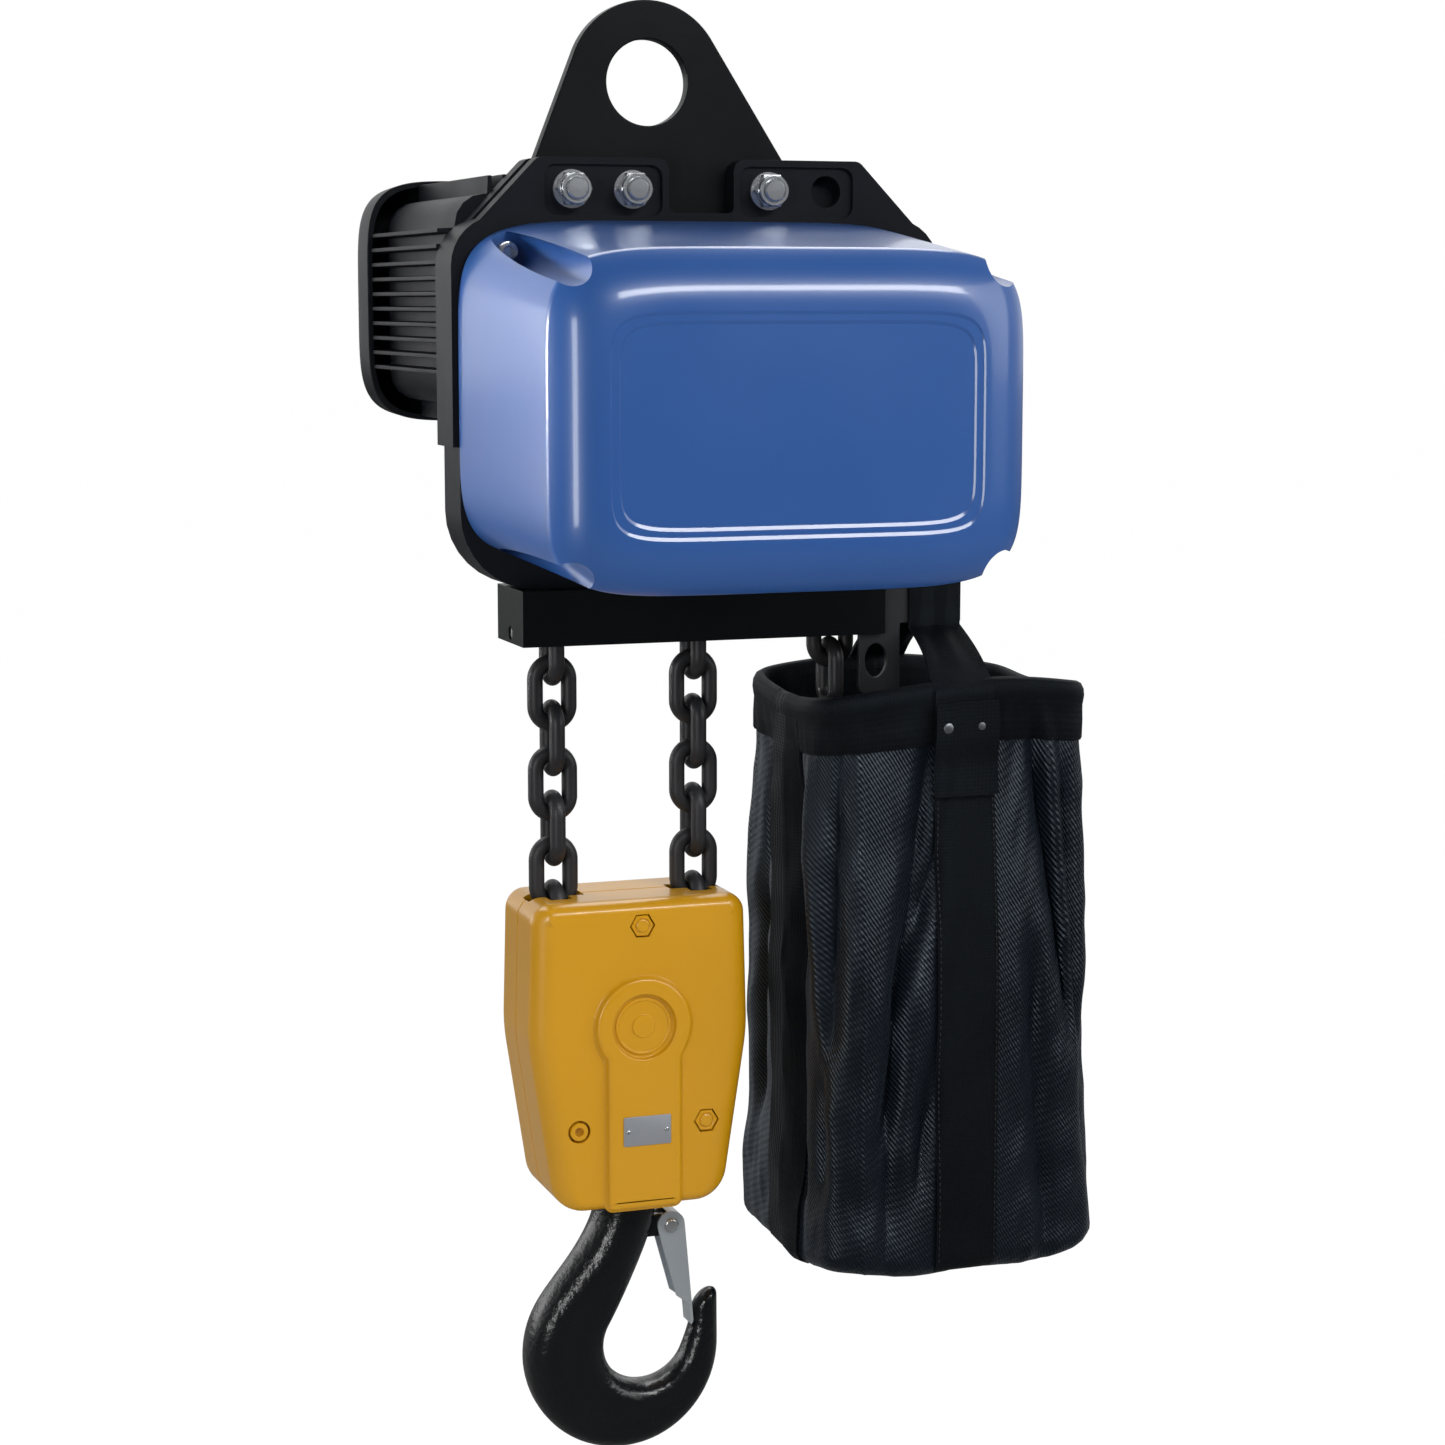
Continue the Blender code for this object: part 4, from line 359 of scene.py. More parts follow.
def twill_group():
    """Diagonal weave on the cloth's own UV map, in threads per metre, with painted shade between
    the threads and a painted highlight on their crests.
    """
    tree, given, out = new_tree("twill", "ShaderNodeTree", {"Threads": 700.0, "Slant": 0.8},
                                {"Height": "Float", "Shade": "Float"})
    place = node(tree, "ShaderNodeUVMap").outputs["UV"]
    turned = node(tree, "ShaderNodeVectorRotate", {"Vector": place, "Angle": given["Slant"]},
                  rotation_type="Z_AXIS")
    axes = split(tree, turned.outputs["Vector"])

    def wave(axis, pace):
        return calc(tree, "SINE", times(tree, axes[axis], times(tree, given["Threads"], pace)))

    along = times(tree, wave("Y", ALONG_PACE), ALONG_DEPTH)
    height = calc(tree, "ADD", wave("X", ACROSS_PACE), along)
    # Shade is painted thread shading: colour darker where the weave is low and lighter where it is
    # high.
    feed(tree, out, {"Height": height, "Shade": ramp(tree, height, -1.0, 1.0, 0.55, 1.35)})
    return tree


PATCHY_PAINT = patchy_paint_group()
SCUFFS = scuffs_group()
TWILL = twill_group()


# Materials
def new_material(name):
    material = bpy.data.materials.new(name)
    material.use_nodes = True
    return material, material.node_tree, material.node_tree.nodes["Principled BSDF"]


def bump_of(tree, height, strength, distance):
    made = node(tree, "ShaderNodeBump", {"Height": height, "Strength": strength,
                                         "Distance": distance})
    return made.outputs["Normal"]


def coated(name, colour, gloss, drift, grain, bump, scuff=0.0, bright=None, **plain):
    """Painted, plated or bare hard surface. Gloss is the lowest and highest roughness."""
    material, tree, shader = new_material(name)
    paint = node(tree, "ShaderNodeGroup", node_tree=PATCHY_PAINT)
    feed(tree, paint.inputs, {"Colour": (*colour, 1.0), "Drift": drift, "Grain Scale": grain,
                              "Gloss Low": gloss[0], "Gloss High": gloss[1]})
    tone = paint.outputs["Colour"]
    if scuff:
        marks = node(tree, "ShaderNodeGroup", node_tree=SCUFFS)
        feed(tree, marks.inputs, {"Amount": scuff})
        worn = bright or [min(1.0, 4 * c) for c in colour]
        mixed = node(tree, "ShaderNodeMix", {"Factor": marks.outputs["Mask"], "A": tone,
                                             "B": (*worn, 1.0)}, data_type="RGBA")
        tone = mixed.outputs["Result"]
    feed(tree, shader.inputs, {"Base Color": tone, "Roughness": paint.outputs["Roughness"],
                               "Normal": bump_of(tree, paint.outputs["Height"], bump, 1.0 * MM)})
    feed(tree, shader.inputs, {key.replace("_", " ").title().replace("Ior", "IOR"): value
                               for key, value in plain.items()})
    return material


def cloth(name, colour, threads, slant, depth, sheen, specular, gloss):
    """Woven nylon: a twill on the UV map with painted thread shade and highlight in its colour,
    random drift of tone, and a soft sheen.
    """
    material, tree, shader = new_material(name)
    weave = node(tree, "ShaderNodeGroup", node_tree=TWILL)
    feed(tree, weave.inputs, {"Threads": threads, "Slant": slant})
    rub = blotches(tree, own_place(tree), 14.0, 6.0)
    # Colour value: the weave's painted thread shade and highlight, times a random drift of tone.
    value = times(tree, weave.outputs["Shade"], ramp(tree, rub, 0.3, 0.7, 0.75, 1.25))
    tone = node(tree, "ShaderNodeHueSaturation", {"Color": (*colour, 1.0), "Value": value})
    feed(tree, shader.inputs, {
        "Base Color": tone.outputs["Color"], "Roughness": ramp(tree, rub, 0.0, 1.0, *gloss),
        "Normal": bump_of(tree, weave.outputs["Height"], depth, 0.4 * MM),
        "Sheen Weight": sheen, "Sheen Roughness": 0.4, "Sheen Tint": (0.55, 0.68, 0.9, 1.0),
        "Specular IOR Level": specular, "Specular Tint": (0.72, 0.86, 1.0, 1.0)})
    return material


BLUE_PAINT = coated("blue_paint", (0.022, 0.083, 0.282), (0.29, 0.36), 0.03, 260.0, 0.008,
                    coat_weight=0.5, coat_roughness=0.10)
YELLOW_PAINT = coated("yellow_paint", (0.600, 0.290, 0.004), (0.29, 0.36), 0.03, 260.0, 0.008,
                      coat_weight=0.3, coat_roughness=0.08)
BLACK_CASTING = coated("black_casting", (0.010, 0.011, 0.014), (0.32, 0.44), 0.12, 900.0, 0.10,
                       0.04, ior=1.15)
BLACK_PLATE = coated("black_plate", (0.005, 0.006, 0.007), (0.30, 0.42), 0.10, 700.0, 0.05,
                     0.05, ior=1.2)
HOOK_BLACK = coated("hook_black", (0.003, 0.004, 0.005), (0.17, 0.26), 0.10, 190.0, 0.8,
                    0.04, specular_ior_level=0.6)
CHAIN_STEEL = coated("chain_steel", (0.040, 0.040, 0.043), (0.38, 0.55), 0.16, 650.0, 0.08,
                     0.10, metallic=0.5)
ZINC = coated("zinc_plate", (0.60, 0.62, 0.64), (0.18, 0.26), 0.08, 500.0, 0.05,
              0.15, (0.75, 0.75, 0.72), metallic=0.8)
BARE_STEEL = coated("machined_steel", (0.46, 0.46, 0.47), (0.28, 0.42), 0.06, 600.0, 0.04,
                    0.2, (0.7, 0.7, 0.7), metallic=1.0)
GREY_BRACKET = coated("grey_bracket", (0.030, 0.031, 0.035), (0.35, 0.5), 0.08, 600.0, 0.05,
                      metallic=0.3)
COPPER = coated("copper_winding", (0.45, 0.20, 0.10), (0.35, 0.5), 0.1, 900.0, 0.1, metallic=0.9)
RUBBER = coated("gasket_rubber", (0.014, 0.014, 0.014), (0.7, 0.85), 0.1, 900.0, 0.1)
GREY_PLASTIC = coated("grey_plastic", (0.16, 0.17, 0.18), (0.45, 0.6), 0.05, 900.0, 0.06)
LATCH_ZINC = coated("latch_zinc", (0.55, 0.60, 0.64), (0.30, 0.40), 0.05, 900.0, 0.03,
                    0.2, (0.7, 0.7, 0.7), metallic=0.6)
BARE_PLATE = coated("bare_plate", (0.46, 0.48, 0.52), (0.34, 0.46), 0.05, 900.0, 0.03,
                    0.2, (0.5, 0.5, 0.5), metallic=0.6)
SNAP_METAL = coated("snap_metal", (0.16, 0.17, 0.18), (0.30, 0.40), 0.05, 900.0, 0.03,
                    metallic=0.8)
THREAD = coated("stitch_thread", (0.005, 0.006, 0.007), (0.5, 0.7), 0.1, 900.0, 0.05)
NYLON = cloth("bag_nylon", (0.0024, 0.0044, 0.0082), 410.0, 0.5, 0.52, 0.06, 0.46, (0.32, 0.42))
WEBBING_CLOTH = cloth("webbing", (0.0044, 0.0053, 0.0068), 900.0, 0.0, 0.45, 0.02, 0.10,
                      (0.42, 0.58))


# Meshes
def add_object(name, data):
    made = bpy.data.objects.new(name, data)
    bpy.context.scene.collection.objects.link(made)
    return made


def mesh_object(name, points, edges, faces):
    mesh = bpy.data.meshes.new(name)
    mesh.from_pydata([tuple(p) for p in points], edges, faces)
    return add_object(name, mesh)


def new_object(name, points, faces, material, smooth=None):
    """Mesh with its faces turned outwards and its edges sharp past an angle in degrees."""
    made = mesh_object(name, points, [], faces)
    shape = bmesh.new()
    shape.from_mesh(made.data)
    bmesh.ops.remove_doubles(shape, verts=shape.verts, dist=0.002 * MM)
    bmesh.ops.recalc_face_normals(shape, faces=shape.faces)
    shape.to_mesh(made.data)
    shape.free()
    return shade(made, material, smooth)


def flatten(made, angle=1.0):
    """Joins coplanar triangles, so that edges can be rounded."""
    shape = bmesh.new()
    shape.from_mesh(made.data)
    bmesh.ops.remove_doubles(shape, verts=shape.verts, dist=0.004 * MM)
    bmesh.ops.dissolve_limit(shape, angle_limit=radians(angle), verts=shape.verts,
                             edges=shape.edges)
    shape.to_mesh(made.data)
    shape.free()


def shade(made, material, smooth=None):
    made.data.materials.clear()
    made.data.materials.append(material)
    made.data.shade_smooth()
    if smooth is not None:
        made.data.set_sharp_from_angle(angle=radians(smooth))
    return made


def loft(name, rings, material, smooth=40):
    """Solid through rings of points, closed at both ends."""
    count = len(rings[0])
    points = [p for ring in rings for p in ring]
    faces = []
    for start in range(0, len(points) - count, count):
        for i in range(start, start + count):
            j = start + (i + 1 - start) % count
            faces.append((i, j, j + count, i + count))
    faces.append(tuple(range(count - 1, -1, -1)))
    faces.append(tuple(range(len(points) - count, len(points))))
    return new_object(name, points, faces, material, smooth)


def at_depth(outline, y):
    return [Vector((p[0], y, p[1])) for p in outline]


def prism(name, outline, front, rear, material):
    return loft(name, [at_depth(outline, front), at_depth(outline, rear)], material)


def arc(centre, radius, start, end, steps):
    angles = [radians(start + (end - start) * i / steps) for i in range(steps + 1)]
    return [Vector((centre[0] + radius * cos(a), centre[1] + radius * sin(a)))
            for a in angles]


def circle(centre, radius, steps=48):
    return arc(centre, radius, 0, 360, steps)[:-1]


def blend(start, end, share):
    return start + (end - start) * share


def signed_power(value, power):
    return copysign(abs(value) ** power, value)


def squircle(centre, halves, squareness, steps=144):
    """Rectangle with bowed sides and round corners."""
    outline = []
    for i in range(steps):
        a = 2 * pi * (i + 0.5) / steps
        x = signed_power(cos(a), 2 / squareness)
        z = signed_power(sin(a), 2 / squareness)
        outline.append(Vector((centre[0] + halves[0] * x, centre[1] + halves[1] * z)))
    return outline


def rounded(corners, radii, steps):
    """Polygon with each corner rounded by its own radius."""
    outline = []
    count = len(corners)
    for i, corner in enumerate(corners):
        here = Vector(corner)
        back = (Vector(corners[i - 1]) - here).normalized()
        ahead = (Vector(corners[(i + 1) % count]) - here).normalized()
        half = acos(max(-1.0, min(1.0, back.dot(ahead)))) / 2
        reach = radii[i] / tan(half)
        centre = here + (back + ahead).normalized() * radii[i] / sin(half)
        start = here + back * reach - centre
        end = here + ahead * reach - centre
        turn = atan2(start.x * end.y - start.y * end.x, start.dot(end))
        for k in range(steps + 1):
            a = turn * k / steps
            outline.append(centre + Vector((start.x * cos(a) - start.y * sin(a),
                                            start.x * sin(a) + start.y * cos(a))))
    return outline


def inset(outline, distance):
    """Anticlockwise outline moved inwards along its normals."""
    moved = []
    count = len(outline)
    for i, p in enumerate(outline):
        before = (p - outline[i - 1]).normalized()
        after = (outline[(i + 1) % count] - p).normalized()
        along = (before + after).normalized()
        moved.append(p + Vector((-along.y, along.x)) * distance)
    return moved


def draw_in(outline, aside, upright):
    """Outline moved inwards by one distance at its sides and another at its top and bottom."""
    moved = []
    for p, q in zip(outline, inset(outline, 1.0)):
        inward = q - p
        moved.append(p + inward * (aside * inward.x ** 2 + upright * inward.y ** 2))
    return moved


def revolve(name, profile, centre, axis, material, steps=48, smooth=40):
    """Turns a profile of (radius, distance along the axis) about an axis through a point."""
    axis = Vector(axis).normalized()
    side = axis.orthogonal().normalized()
    over = axis.cross(side)
    angles = [2 * pi * i / steps for i in range(steps)]
    rings = []
    for radius, along in profile:
        rings.append([Vector(centre) + axis * along
                      + (side * cos(a) + over * sin(a)) * max(radius, 1e-6)
                      for a in angles])
    return loft(name, rings, material, smooth)


def scaled(profile):
    return [(r * MM, z * MM) for r, z in profile]


def turned(name, profile, material, steps, smooth=40):
    """Small part turned about +Z at the origin, from a profile in millimetres."""
    return revolve(name, scaled(profile), (0, 0, 0), (0, 0, 1), material, steps, smooth)


def hexagonal(name, sections, material, steps=48):
    """Part along +Z, from sections of (height, radius, whether a hexagon) in millimetres."""
    rings = []
    for z, radius, hexagon in sections:
        ring = []
        for i in range(steps):
            a = 2 * pi * i / steps
            reach = radius
            if hexagon:
                reach *= cos(pi / 6) / cos(a % (pi / 3) - pi / 6)
            ring.append(Vector((reach * cos(a), reach * sin(a), z)) * MM)
        rings.append(ring)
    return loft(name, rings, material, 28)


def bake(made):
    """Applies every modifier of an object to its mesh."""
    view = bpy.context.evaluated_depsgraph_get()
    mesh = bpy.data.meshes.new_from_object(made.evaluated_get(view),
                                           preserve_all_data_layers=True, depsgraph=view)
    made.modifiers.clear()
    made.data = mesh
    return made


def modify(made, kind, **settings):
    change = made.modifiers.new("change", kind)
    for key, value in settings.items():
        setattr(change, key, value)
    return bake(made)


def carve(target, *tools, operation="DIFFERENCE"):
    for tool in tools:
        modify(target, "BOOLEAN", operation=operation, solver="EXACT", object=tool)
        bpy.data.objects.remove(tool)


def bevel(made, width, segments=2, angle=35):
    modify(made, "BEVEL", width=width, segments=segments, limit_method="ANGLE",
           angle_limit=radians(angle), miter_outer="MITER_ARC")


def keep_flat(made):
    """Lets large flat faces keep their own normals beside rounded edges."""
    return modify(made, "WEIGHTED_NORMAL", keep_sharp=True)


def soften(made, material, width, smooth, segments=2, angle=35):
    """Rounds the edges of a finished solid."""
    bevel(made, width, segments, angle)
    return keep_flat(shade(made, material, smooth))


def place(made, body, slot, *nodes):
    """Hands a finished piece to its body, in place of the solids that it stands for."""
    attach(made, body)
    if nodes:
        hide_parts(*nodes)


def dress(node_name, name, material, body, slot, smooth=35, tool=None):
    """Puts a copy with rounded edges, cut by a tool where one is given, in a solid's place."""
    made = add_object(name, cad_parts[node_name].data.copy())
    flatten(made)
    if tool:
        carve(made, tool)
        flatten(made)
    place(soften(made, material, EDGES[node_name], smooth), body, slot, node_name)


# Geometry node trees for what repeats
def run_tree(name, tree, values, source=None):
    """Object made by a node tree from named inputs, turned into a plain mesh."""
    source = source or mesh_object("source", [], [], [])
    maker = source.modifiers.new("maker", "NODES")
    maker.node_group = tree
    for socket in tree.interface.items_tree:
        if socket.in_out == "INPUT" and socket.name in values:
            maker[socket.identifier] = values[socket.name]
    made = add_object(name, bake(source).data)
    bpy.data.objects.remove(source)
    return made


def repeat(tree, given, out, inputs):
    """Ends a tree with copies on points, made real and painted."""
    shape = first(tree, "GeometryNodeInstanceOnPoints", inputs)
    for kind in ("RealizeInstances", "SetShadeSmooth"):
        shape = first(tree, "GeometryNode" + kind, {"Geometry": shape})
    feed(tree, out, {"Geometry": first(tree, "GeometryNodeSetMaterial",
                                       {"Geometry": shape, "Material": given["Finish"]})})
    return tree


def chain_tree():
    """A fall of links, each a quarter turn from the one above."""
    tree, given, out = new_tree(
        "chain_fall", "GeometryNodeTree",
        {"Wire": WIRE, "Pitch": PITCH, "Inner Width": LINK_INNER_WIDTH,
         "Inner Length": LINK_INNER_LENGTH, "Links": 7, "Top": "Vector", "Finish": "Material"},
        {"Geometry": "Geometry"})
    wide = calc(tree, "ADD", given["Inner Width"], given["Wire"])
    tall = calc(tree, "ADD", given["Inner Length"], given["Wire"])
    box = first(tree, "GeometryNodeCurvePrimitiveQuadrilateral", {"Width": wide, "Height": tall})
    bent = first(tree, "GeometryNodeFilletCurve",
                 {"Curve": box, "Count": 12, "Radius": times(tree, wide, 0.499)}, mode="POLY")
    section = first(tree, "GeometryNodeCurvePrimitiveCircle",
                    {"Resolution": 20, "Radius": times(tree, given["Wire"], 0.5)})
    tube = first(tree, "GeometryNodeCurveToMesh", {"Curve": bent, "Profile Curve": section})
    upright = first(tree, "GeometryNodeTransform",
                    {"Geometry": tube, "Rotation": (pi / 2, 0, 0)})
    drop = first(tree, "ShaderNodeCombineXYZ", {"Z": times(tree, given["Pitch"], -1.0)})
    line = first(tree, "GeometryNodeMeshLine", {"Count": given["Links"], "Offset": drop,
                                                "Start Location": given["Top"]})
    number = calc(tree, "ADD", first(tree, "GeometryNodeInputIndex"), 1.0)
    turn = times(tree, calc(tree, "MODULO", number, 2.0), pi / 2)
    return repeat(tree, given, out, {
        "Points": line, "Instance": upright,
        "Rotation": first(tree, "ShaderNodeCombineXYZ", {"Z": turn})})


def copies_tree():
    """One small part repeated on the points of a mesh."""
    tree, given, out = new_tree(
        "part_on_points", "GeometryNodeTree",
        {"Geometry": "Geometry", "Part": "Object", "Turn": "Vector", "Finish": "Material"},
        {"Geometry": "Geometry"})
    part = node(tree, "GeometryNodeObjectInfo", {"Object": given["Part"]})
    return repeat(tree, given, out, {"Points": given["Geometry"], "Rotation": given["Turn"],
                                     "Instance": part.outputs["Geometry"]})


def stitch_tree():
    """Short raised stitches along the lines of a mesh."""
    tree, given, out = new_tree(
        "stitches", "GeometryNodeTree",
        {"Geometry": "Geometry", "Step": 5.0 * MM, "Length": 3.6 * MM, "Thread": 0.6 * MM,
         "Finish": "Material"}, {"Geometry": "Geometry"})
    lines = first(tree, "GeometryNodeMeshToCurve", {"Mesh": given["Geometry"]})
    points = node(tree, "GeometryNodeCurveToPoints", {"Curve": lines, "Length": given["Step"]},
                  mode="LENGTH").outputs
    size = first(tree, "ShaderNodeCombineXYZ", {"X": given["Thread"], "Y": given["Thread"],
                                                "Z": times(tree, given["Length"], 0.5)})
    return repeat(tree, given, out, {
        "Points": points["Points"], "Rotation": points["Rotation"], "Scale": size,
        "Instance": first(tree, "GeometryNodeMeshIcoSphere", {"Radius": 1.0, "Subdivisions": 2})})


CHAIN_TREE = chain_tree()
COPIES_TREE = copies_tree()
STITCH_TREE = stitch_tree()
TO_FRONT = (pi / 2, 0.0, 0.0)
TO_REAR = (-pi / 2, 0.0, 0.0)


def copies(name, part, points, turn, smooth, body, slot, *nodes):
    """Places copies of a part made along +Z at the origin, turned and set on points."""
    material = part.data.materials[0]
    values = {"Part": part, "Turn": turn, "Finish": material}
    made = run_tree(name, COPIES_TREE, values, mesh_object("points", points, [], []))
    bpy.data.objects.remove(part)
    place(shade(made, material, smooth), body, slot, *nodes)


# Profiles of small turned parts, as (radius, height), and of hexagon parts, in millimetres
SOCKET_SCREW = ((7.0, 0.0), (7.0, 7.0), (6.6, 7.8), (5.9, 8.0), (3.6, 8.0), (3.4, 7.8), (3.4, 4.0),
                (0.0, 3.6))
RIVET = ((1.9, 0.0), (1.8, 0.5), (1.3, 0.9), (0.6, 1.1), (0.0, 1.15))
PIN_HEAD = ((5.6, 0.0), (5.8, 0.6), (5.4, 1.6), (4.2, 2.3), (2.4, 2.6), (0.0, 2.7))
SNAP = ((6.2, 0.0), (6.2, 0.8), (5.6, 1.6), (4.2, 2.5), (2.2, 3.1), (0.0, 3.3))
LOCK_NUT = ((0.0, 14.0, 0), (2.2, 14.0, 0), (2.5, 13.7, 0), (2.5, 12.7, 1), (2.9, 13.3, 1),
            (10.0, 13.3, 1), (10.9, 12.5, 1), (11.0, 11.4, 0), (14.6, 11.2, 0), (15.4, 10.6, 0),
            (15.4, 8.8, 0), (14.2, 8.4, 0), (14.2, 7.9, 0), (16.6, 7.9, 0), (17.6, 6.8, 0),
            (17.8, 0.01, 0))
BOLT_HEAD = ((-34.0, 8.0, 0), (0.0, 8.0, 0), (0.0, 13.4, 1), (0.5, 13.8, 1), (7.2, 13.8, 1),
             (8.0, 12.4, 1), (8.0, 0.01, 0))
HEX_NUT = ((0.0, 8.8, 1), (4.9, 8.8, 1), (5.5, 8.2, 1), (5.6, 6.2, 0), (5.0, 5.4, 0),
           (5.0, 4.9, 0), (6.0, 4.7, 0), (6.4, 4.0, 0), (6.4, 0.01, 0))


# Suspension plate and housing
def suspension_plate():
    low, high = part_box("suspension_plate")
    left = Vector((low[0], PLATE_SHOULDER_Z))
    right = Vector((high[0], PLATE_SHOULDER_Z))

    def touch(point, side):
        angle = degrees(atan2(point.y, point.x)) % 360
        return angle + side * degrees(acos(EYE_RIM_RADIUS / point.length))

    outline = arc((0, 0), EYE_RIM_RADIUS, touch(right, 1) - 360, touch(left, -1), 72)
    outline += [left, Vector((low[0], low[2])), Vector((high[0], low[2])), right]
    plate = prism("plate_with_eye", outline, low[1], high[1], BLACK_PLATE)
    eye = circle((0, 0), EYE_RADIUS, 96)
    carve(plate, prism("eye", eye, 2 * low[1], 2 * high[1], BLACK_PLATE))
    place(soften(plate, BLACK_PLATE, PLATE_BEVEL, 35, 3), "frame", "black_steel",
          "suspension_plate")


def housing():
    """Casting whose spare bolt hole is closed behind its mouth by a web."""
    low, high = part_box("suspension_plate")
    spare = (BODY_X - BOLT_OFFSETS[0], BOLT_Z)
    bore = prism("spare_bore", circle(spare, SPARE_HOLE_RADIUS), 2 * PAD_FACE, low[1],
                 BLACK_CASTING)
    dress("main_housing", "housing_casting", BLACK_CASTING, "frame", "black_casting", tool=bore)
    web = prism("spare_hole_web", circle(spare, SPARE_HOLE_RADIUS + 1.5 * MM), low[1] + CLEARANCE,
                high[1], BLACK_CASTING)
    place(web, "frame", "black_casting")


def suspension_nuts():
    """Hexagon nuts with a round collar, their washers and bolts, and the bolts' heads."""
    points = [(BODY_X + offset, PAD_FACE - CLEARANCE, BOLT_Z) for offset in BOLT_OFFSETS]
    copies("suspension_nuts", hexagonal("lock_nut", LOCK_NUT, ZINC), points, TO_FRONT, 28,
           "frame", "zinc", "suspension_bolt_1", "suspension_bolt_2", "suspension_bolt_3")
    points = [(x, BOLT_SEAT, z) for x, y, z in points]
    copies("suspension_bolt_heads", hexagonal("bolt_head", BOLT_HEAD, ZINC), points, TO_REAR, 28,
           "frame", "zinc")


# Control cover
def cover_ring(y, shrink):
    share = (COVER_REAR - y) / (COVER_REAR - COVER_FRONT)
    halves = [blend(rear, front, share) - shrink
              for rear, front in zip(COVER_REAR_HALF, COVER_FRONT_HALF)]
    middle = blend(COVER_REAR_Z, COVER_FRONT_Z, share)
    return at_depth(squircle((BODY_X, middle), halves, COVER_SQUARENESS), y)


def cover_body(name, shrink, rear):
    """Tapered box whose sides end in a crease, with a bulge from there to its front."""
    bulge = COVER_BULGE_RADIUS - shrink
    crease = COVER_CREASE_RADIUS
    front = COVER_FRONT + shrink
    turn = radians(COVER_CREASE_ANGLE)
    rings = [cover_ring(rear, shrink)]
    for k in range(6):
        a = turn * k / 5
        depth = bulge * (1 - sin(turn)) + crease * (sin(turn) - sin(a))
        rings.append(cover_ring(front + depth, shrink + crease * (1 - cos(a))))
    for k in range(1, 15):
        a = turn + (pi / 2 - turn) * k / 14
        narrow = crease * (1 - cos(turn)) + bulge * (cos(turn) - cos(a))
        rings.append(cover_ring(front + bulge * (1 - sin(a)), shrink + narrow))
    return loft(name, rings, BLUE_PAINT)


CORNERS = ((-1, 1), (1, 1), (-1, -1), (1, -1))


def scoop_centre(side, height, front):
    halves = COVER_FRONT_HALF if front else COVER_REAR_HALF
    insets = SCOOP_FRONT_INSET if front else SCOOP_REAR_INSET
    middle = COVER_FRONT_Z if front else COVER_REAR_Z
    return Vector((BODY_X + side * (halves[0] - insets[0]),
                   middle + height * (halves[1] - insets[1])))


def scoop(side, height, grow, rear):
    rings = []
    for front, y in ((False, rear), (True, COVER_FRONT - 3 * MM)):
        outline = circle(scoop_centre(side, height, front), SCOOP_RADIUS + grow, 64)
        rings.append(at_depth(outline, y))
    return loft("scoop", rings, BLUE_PAINT)


def control_cover():
    """Hollow cover with a scoop at each corner and a panel sunk in two steps."""
    cover = cover_body("blue_cover", 0, COVER_REAR)
    inside = cover_body("inside", COVER_WALL, COVER_REAR + 3 * MM)
    for side, height in CORNERS:
        carve(cover, scoop(side, height, 0, COVER_REAR - COVER_FLANGE))
        carve(inside, scoop(side, height, COVER_WALL, COVER_REAR + 6 * MM))
    carve(cover, inside)
    for number in (0, 1):
        halves = [half - PANEL_LEDGE * number for half in PANEL_HALF]
        outline = squircle((BODY_X, COVER_FRONT_Z), halves, PANEL_SQUARENESS)
        rim = draw_in(outline, -PANEL_SIDE_SLOPE, -PANEL_END_SLOPE)
        rings = [at_depth(rim, COVER_FRONT - 5 * MM),
                 at_depth(rim, COVER_FRONT + PANEL_STEP * number),
                 at_depth(outline, COVER_FRONT + PANEL_STEP * (number + 1))]
        carve(cover, loft("panel", rings, BLUE_PAINT))
    place(soften(cover, BLUE_PAINT, COVER_EDGE, 15, angle=30), "frame", "blue_paint",
          "control_cover")


def socket_screw(material):
    """Cap screw with a round socket."""
    return turned("socket_screw", SOCKET_SCREW, material, 36, 30)


def cover_screws():
    points = []
    for side, height in CORNERS:
        centre = scoop_centre(side, height, False)
        points.append((centre.x, COVER_REAR - COVER_FLANGE - CLEARANCE, centre.y))
    copies("cover_screw_heads", socket_screw(ZINC), points, TO_FRONT, 30, "frame", "zinc",
           "cover_screw_1", "cover_screw_2", "cover_screw_3", "cover_screw_4")


# Motor
def motor():
    dress("motor_housing", "finned_motor", BLACK_CASTING, "frame", "black_casting", 30)
    low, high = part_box("motor_end_cover")
    centre = ((low[0] + high[0]) / 2, (low[2] + high[2]) / 2)
    half = (high[0] - low[0]) / 2 + END_CAP_OVERHANG
    wall = END_CAP_WALL
    shape = [(high[1] - wall, wall * 4), (high[1] - wall * 4, wall), (low[1], wall),
             (low[1], END_CAP_LIP), (low[1] + END_CAP_LIP, 0), (high[1] - wall * 5, wall * 0.25)]
    for k in range(1, 9):
        a = radians(90 * k / 8)
        shape.append((high[1] - wall * 4 * (1 - sin(a)),
                      wall * 0.25 + wall * 3.75 * (1 - cos(a))))
    rings = [at_depth(squircle(centre, (half - shrink, half - shrink), END_CAP_SQUARENESS), y)
             for y, shrink in shape]
    place(loft("motor_end_cap", rings, BLACK_CASTING), "frame", "black_casting",
          "motor_end_cover")


# Chain and guide bar
def chain():
    for fall, count, body in FALLS:
        names = [f"{fall}_fall_link_{k}" for k in range(1, count + 1)]
        low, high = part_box(names[0])
        top = ((low[0] + high[0]) / 2, 0.0, (low[2] + high[2]) / 2)
        made = run_tree(f"{fall}_chain", CHAIN_TREE,
                        {"Links": count, "Top": top, "Finish": CHAIN_STEEL})
        place(made, body, "chain_steel", *names)


def guide_bar():
    dress("chain_guide_bar", "guide_bar", BLACK_PLATE, "frame", "black_steel")
    dress("bag_bracket", "bracket", GREY_BRACKET, "frame", "black_steel")


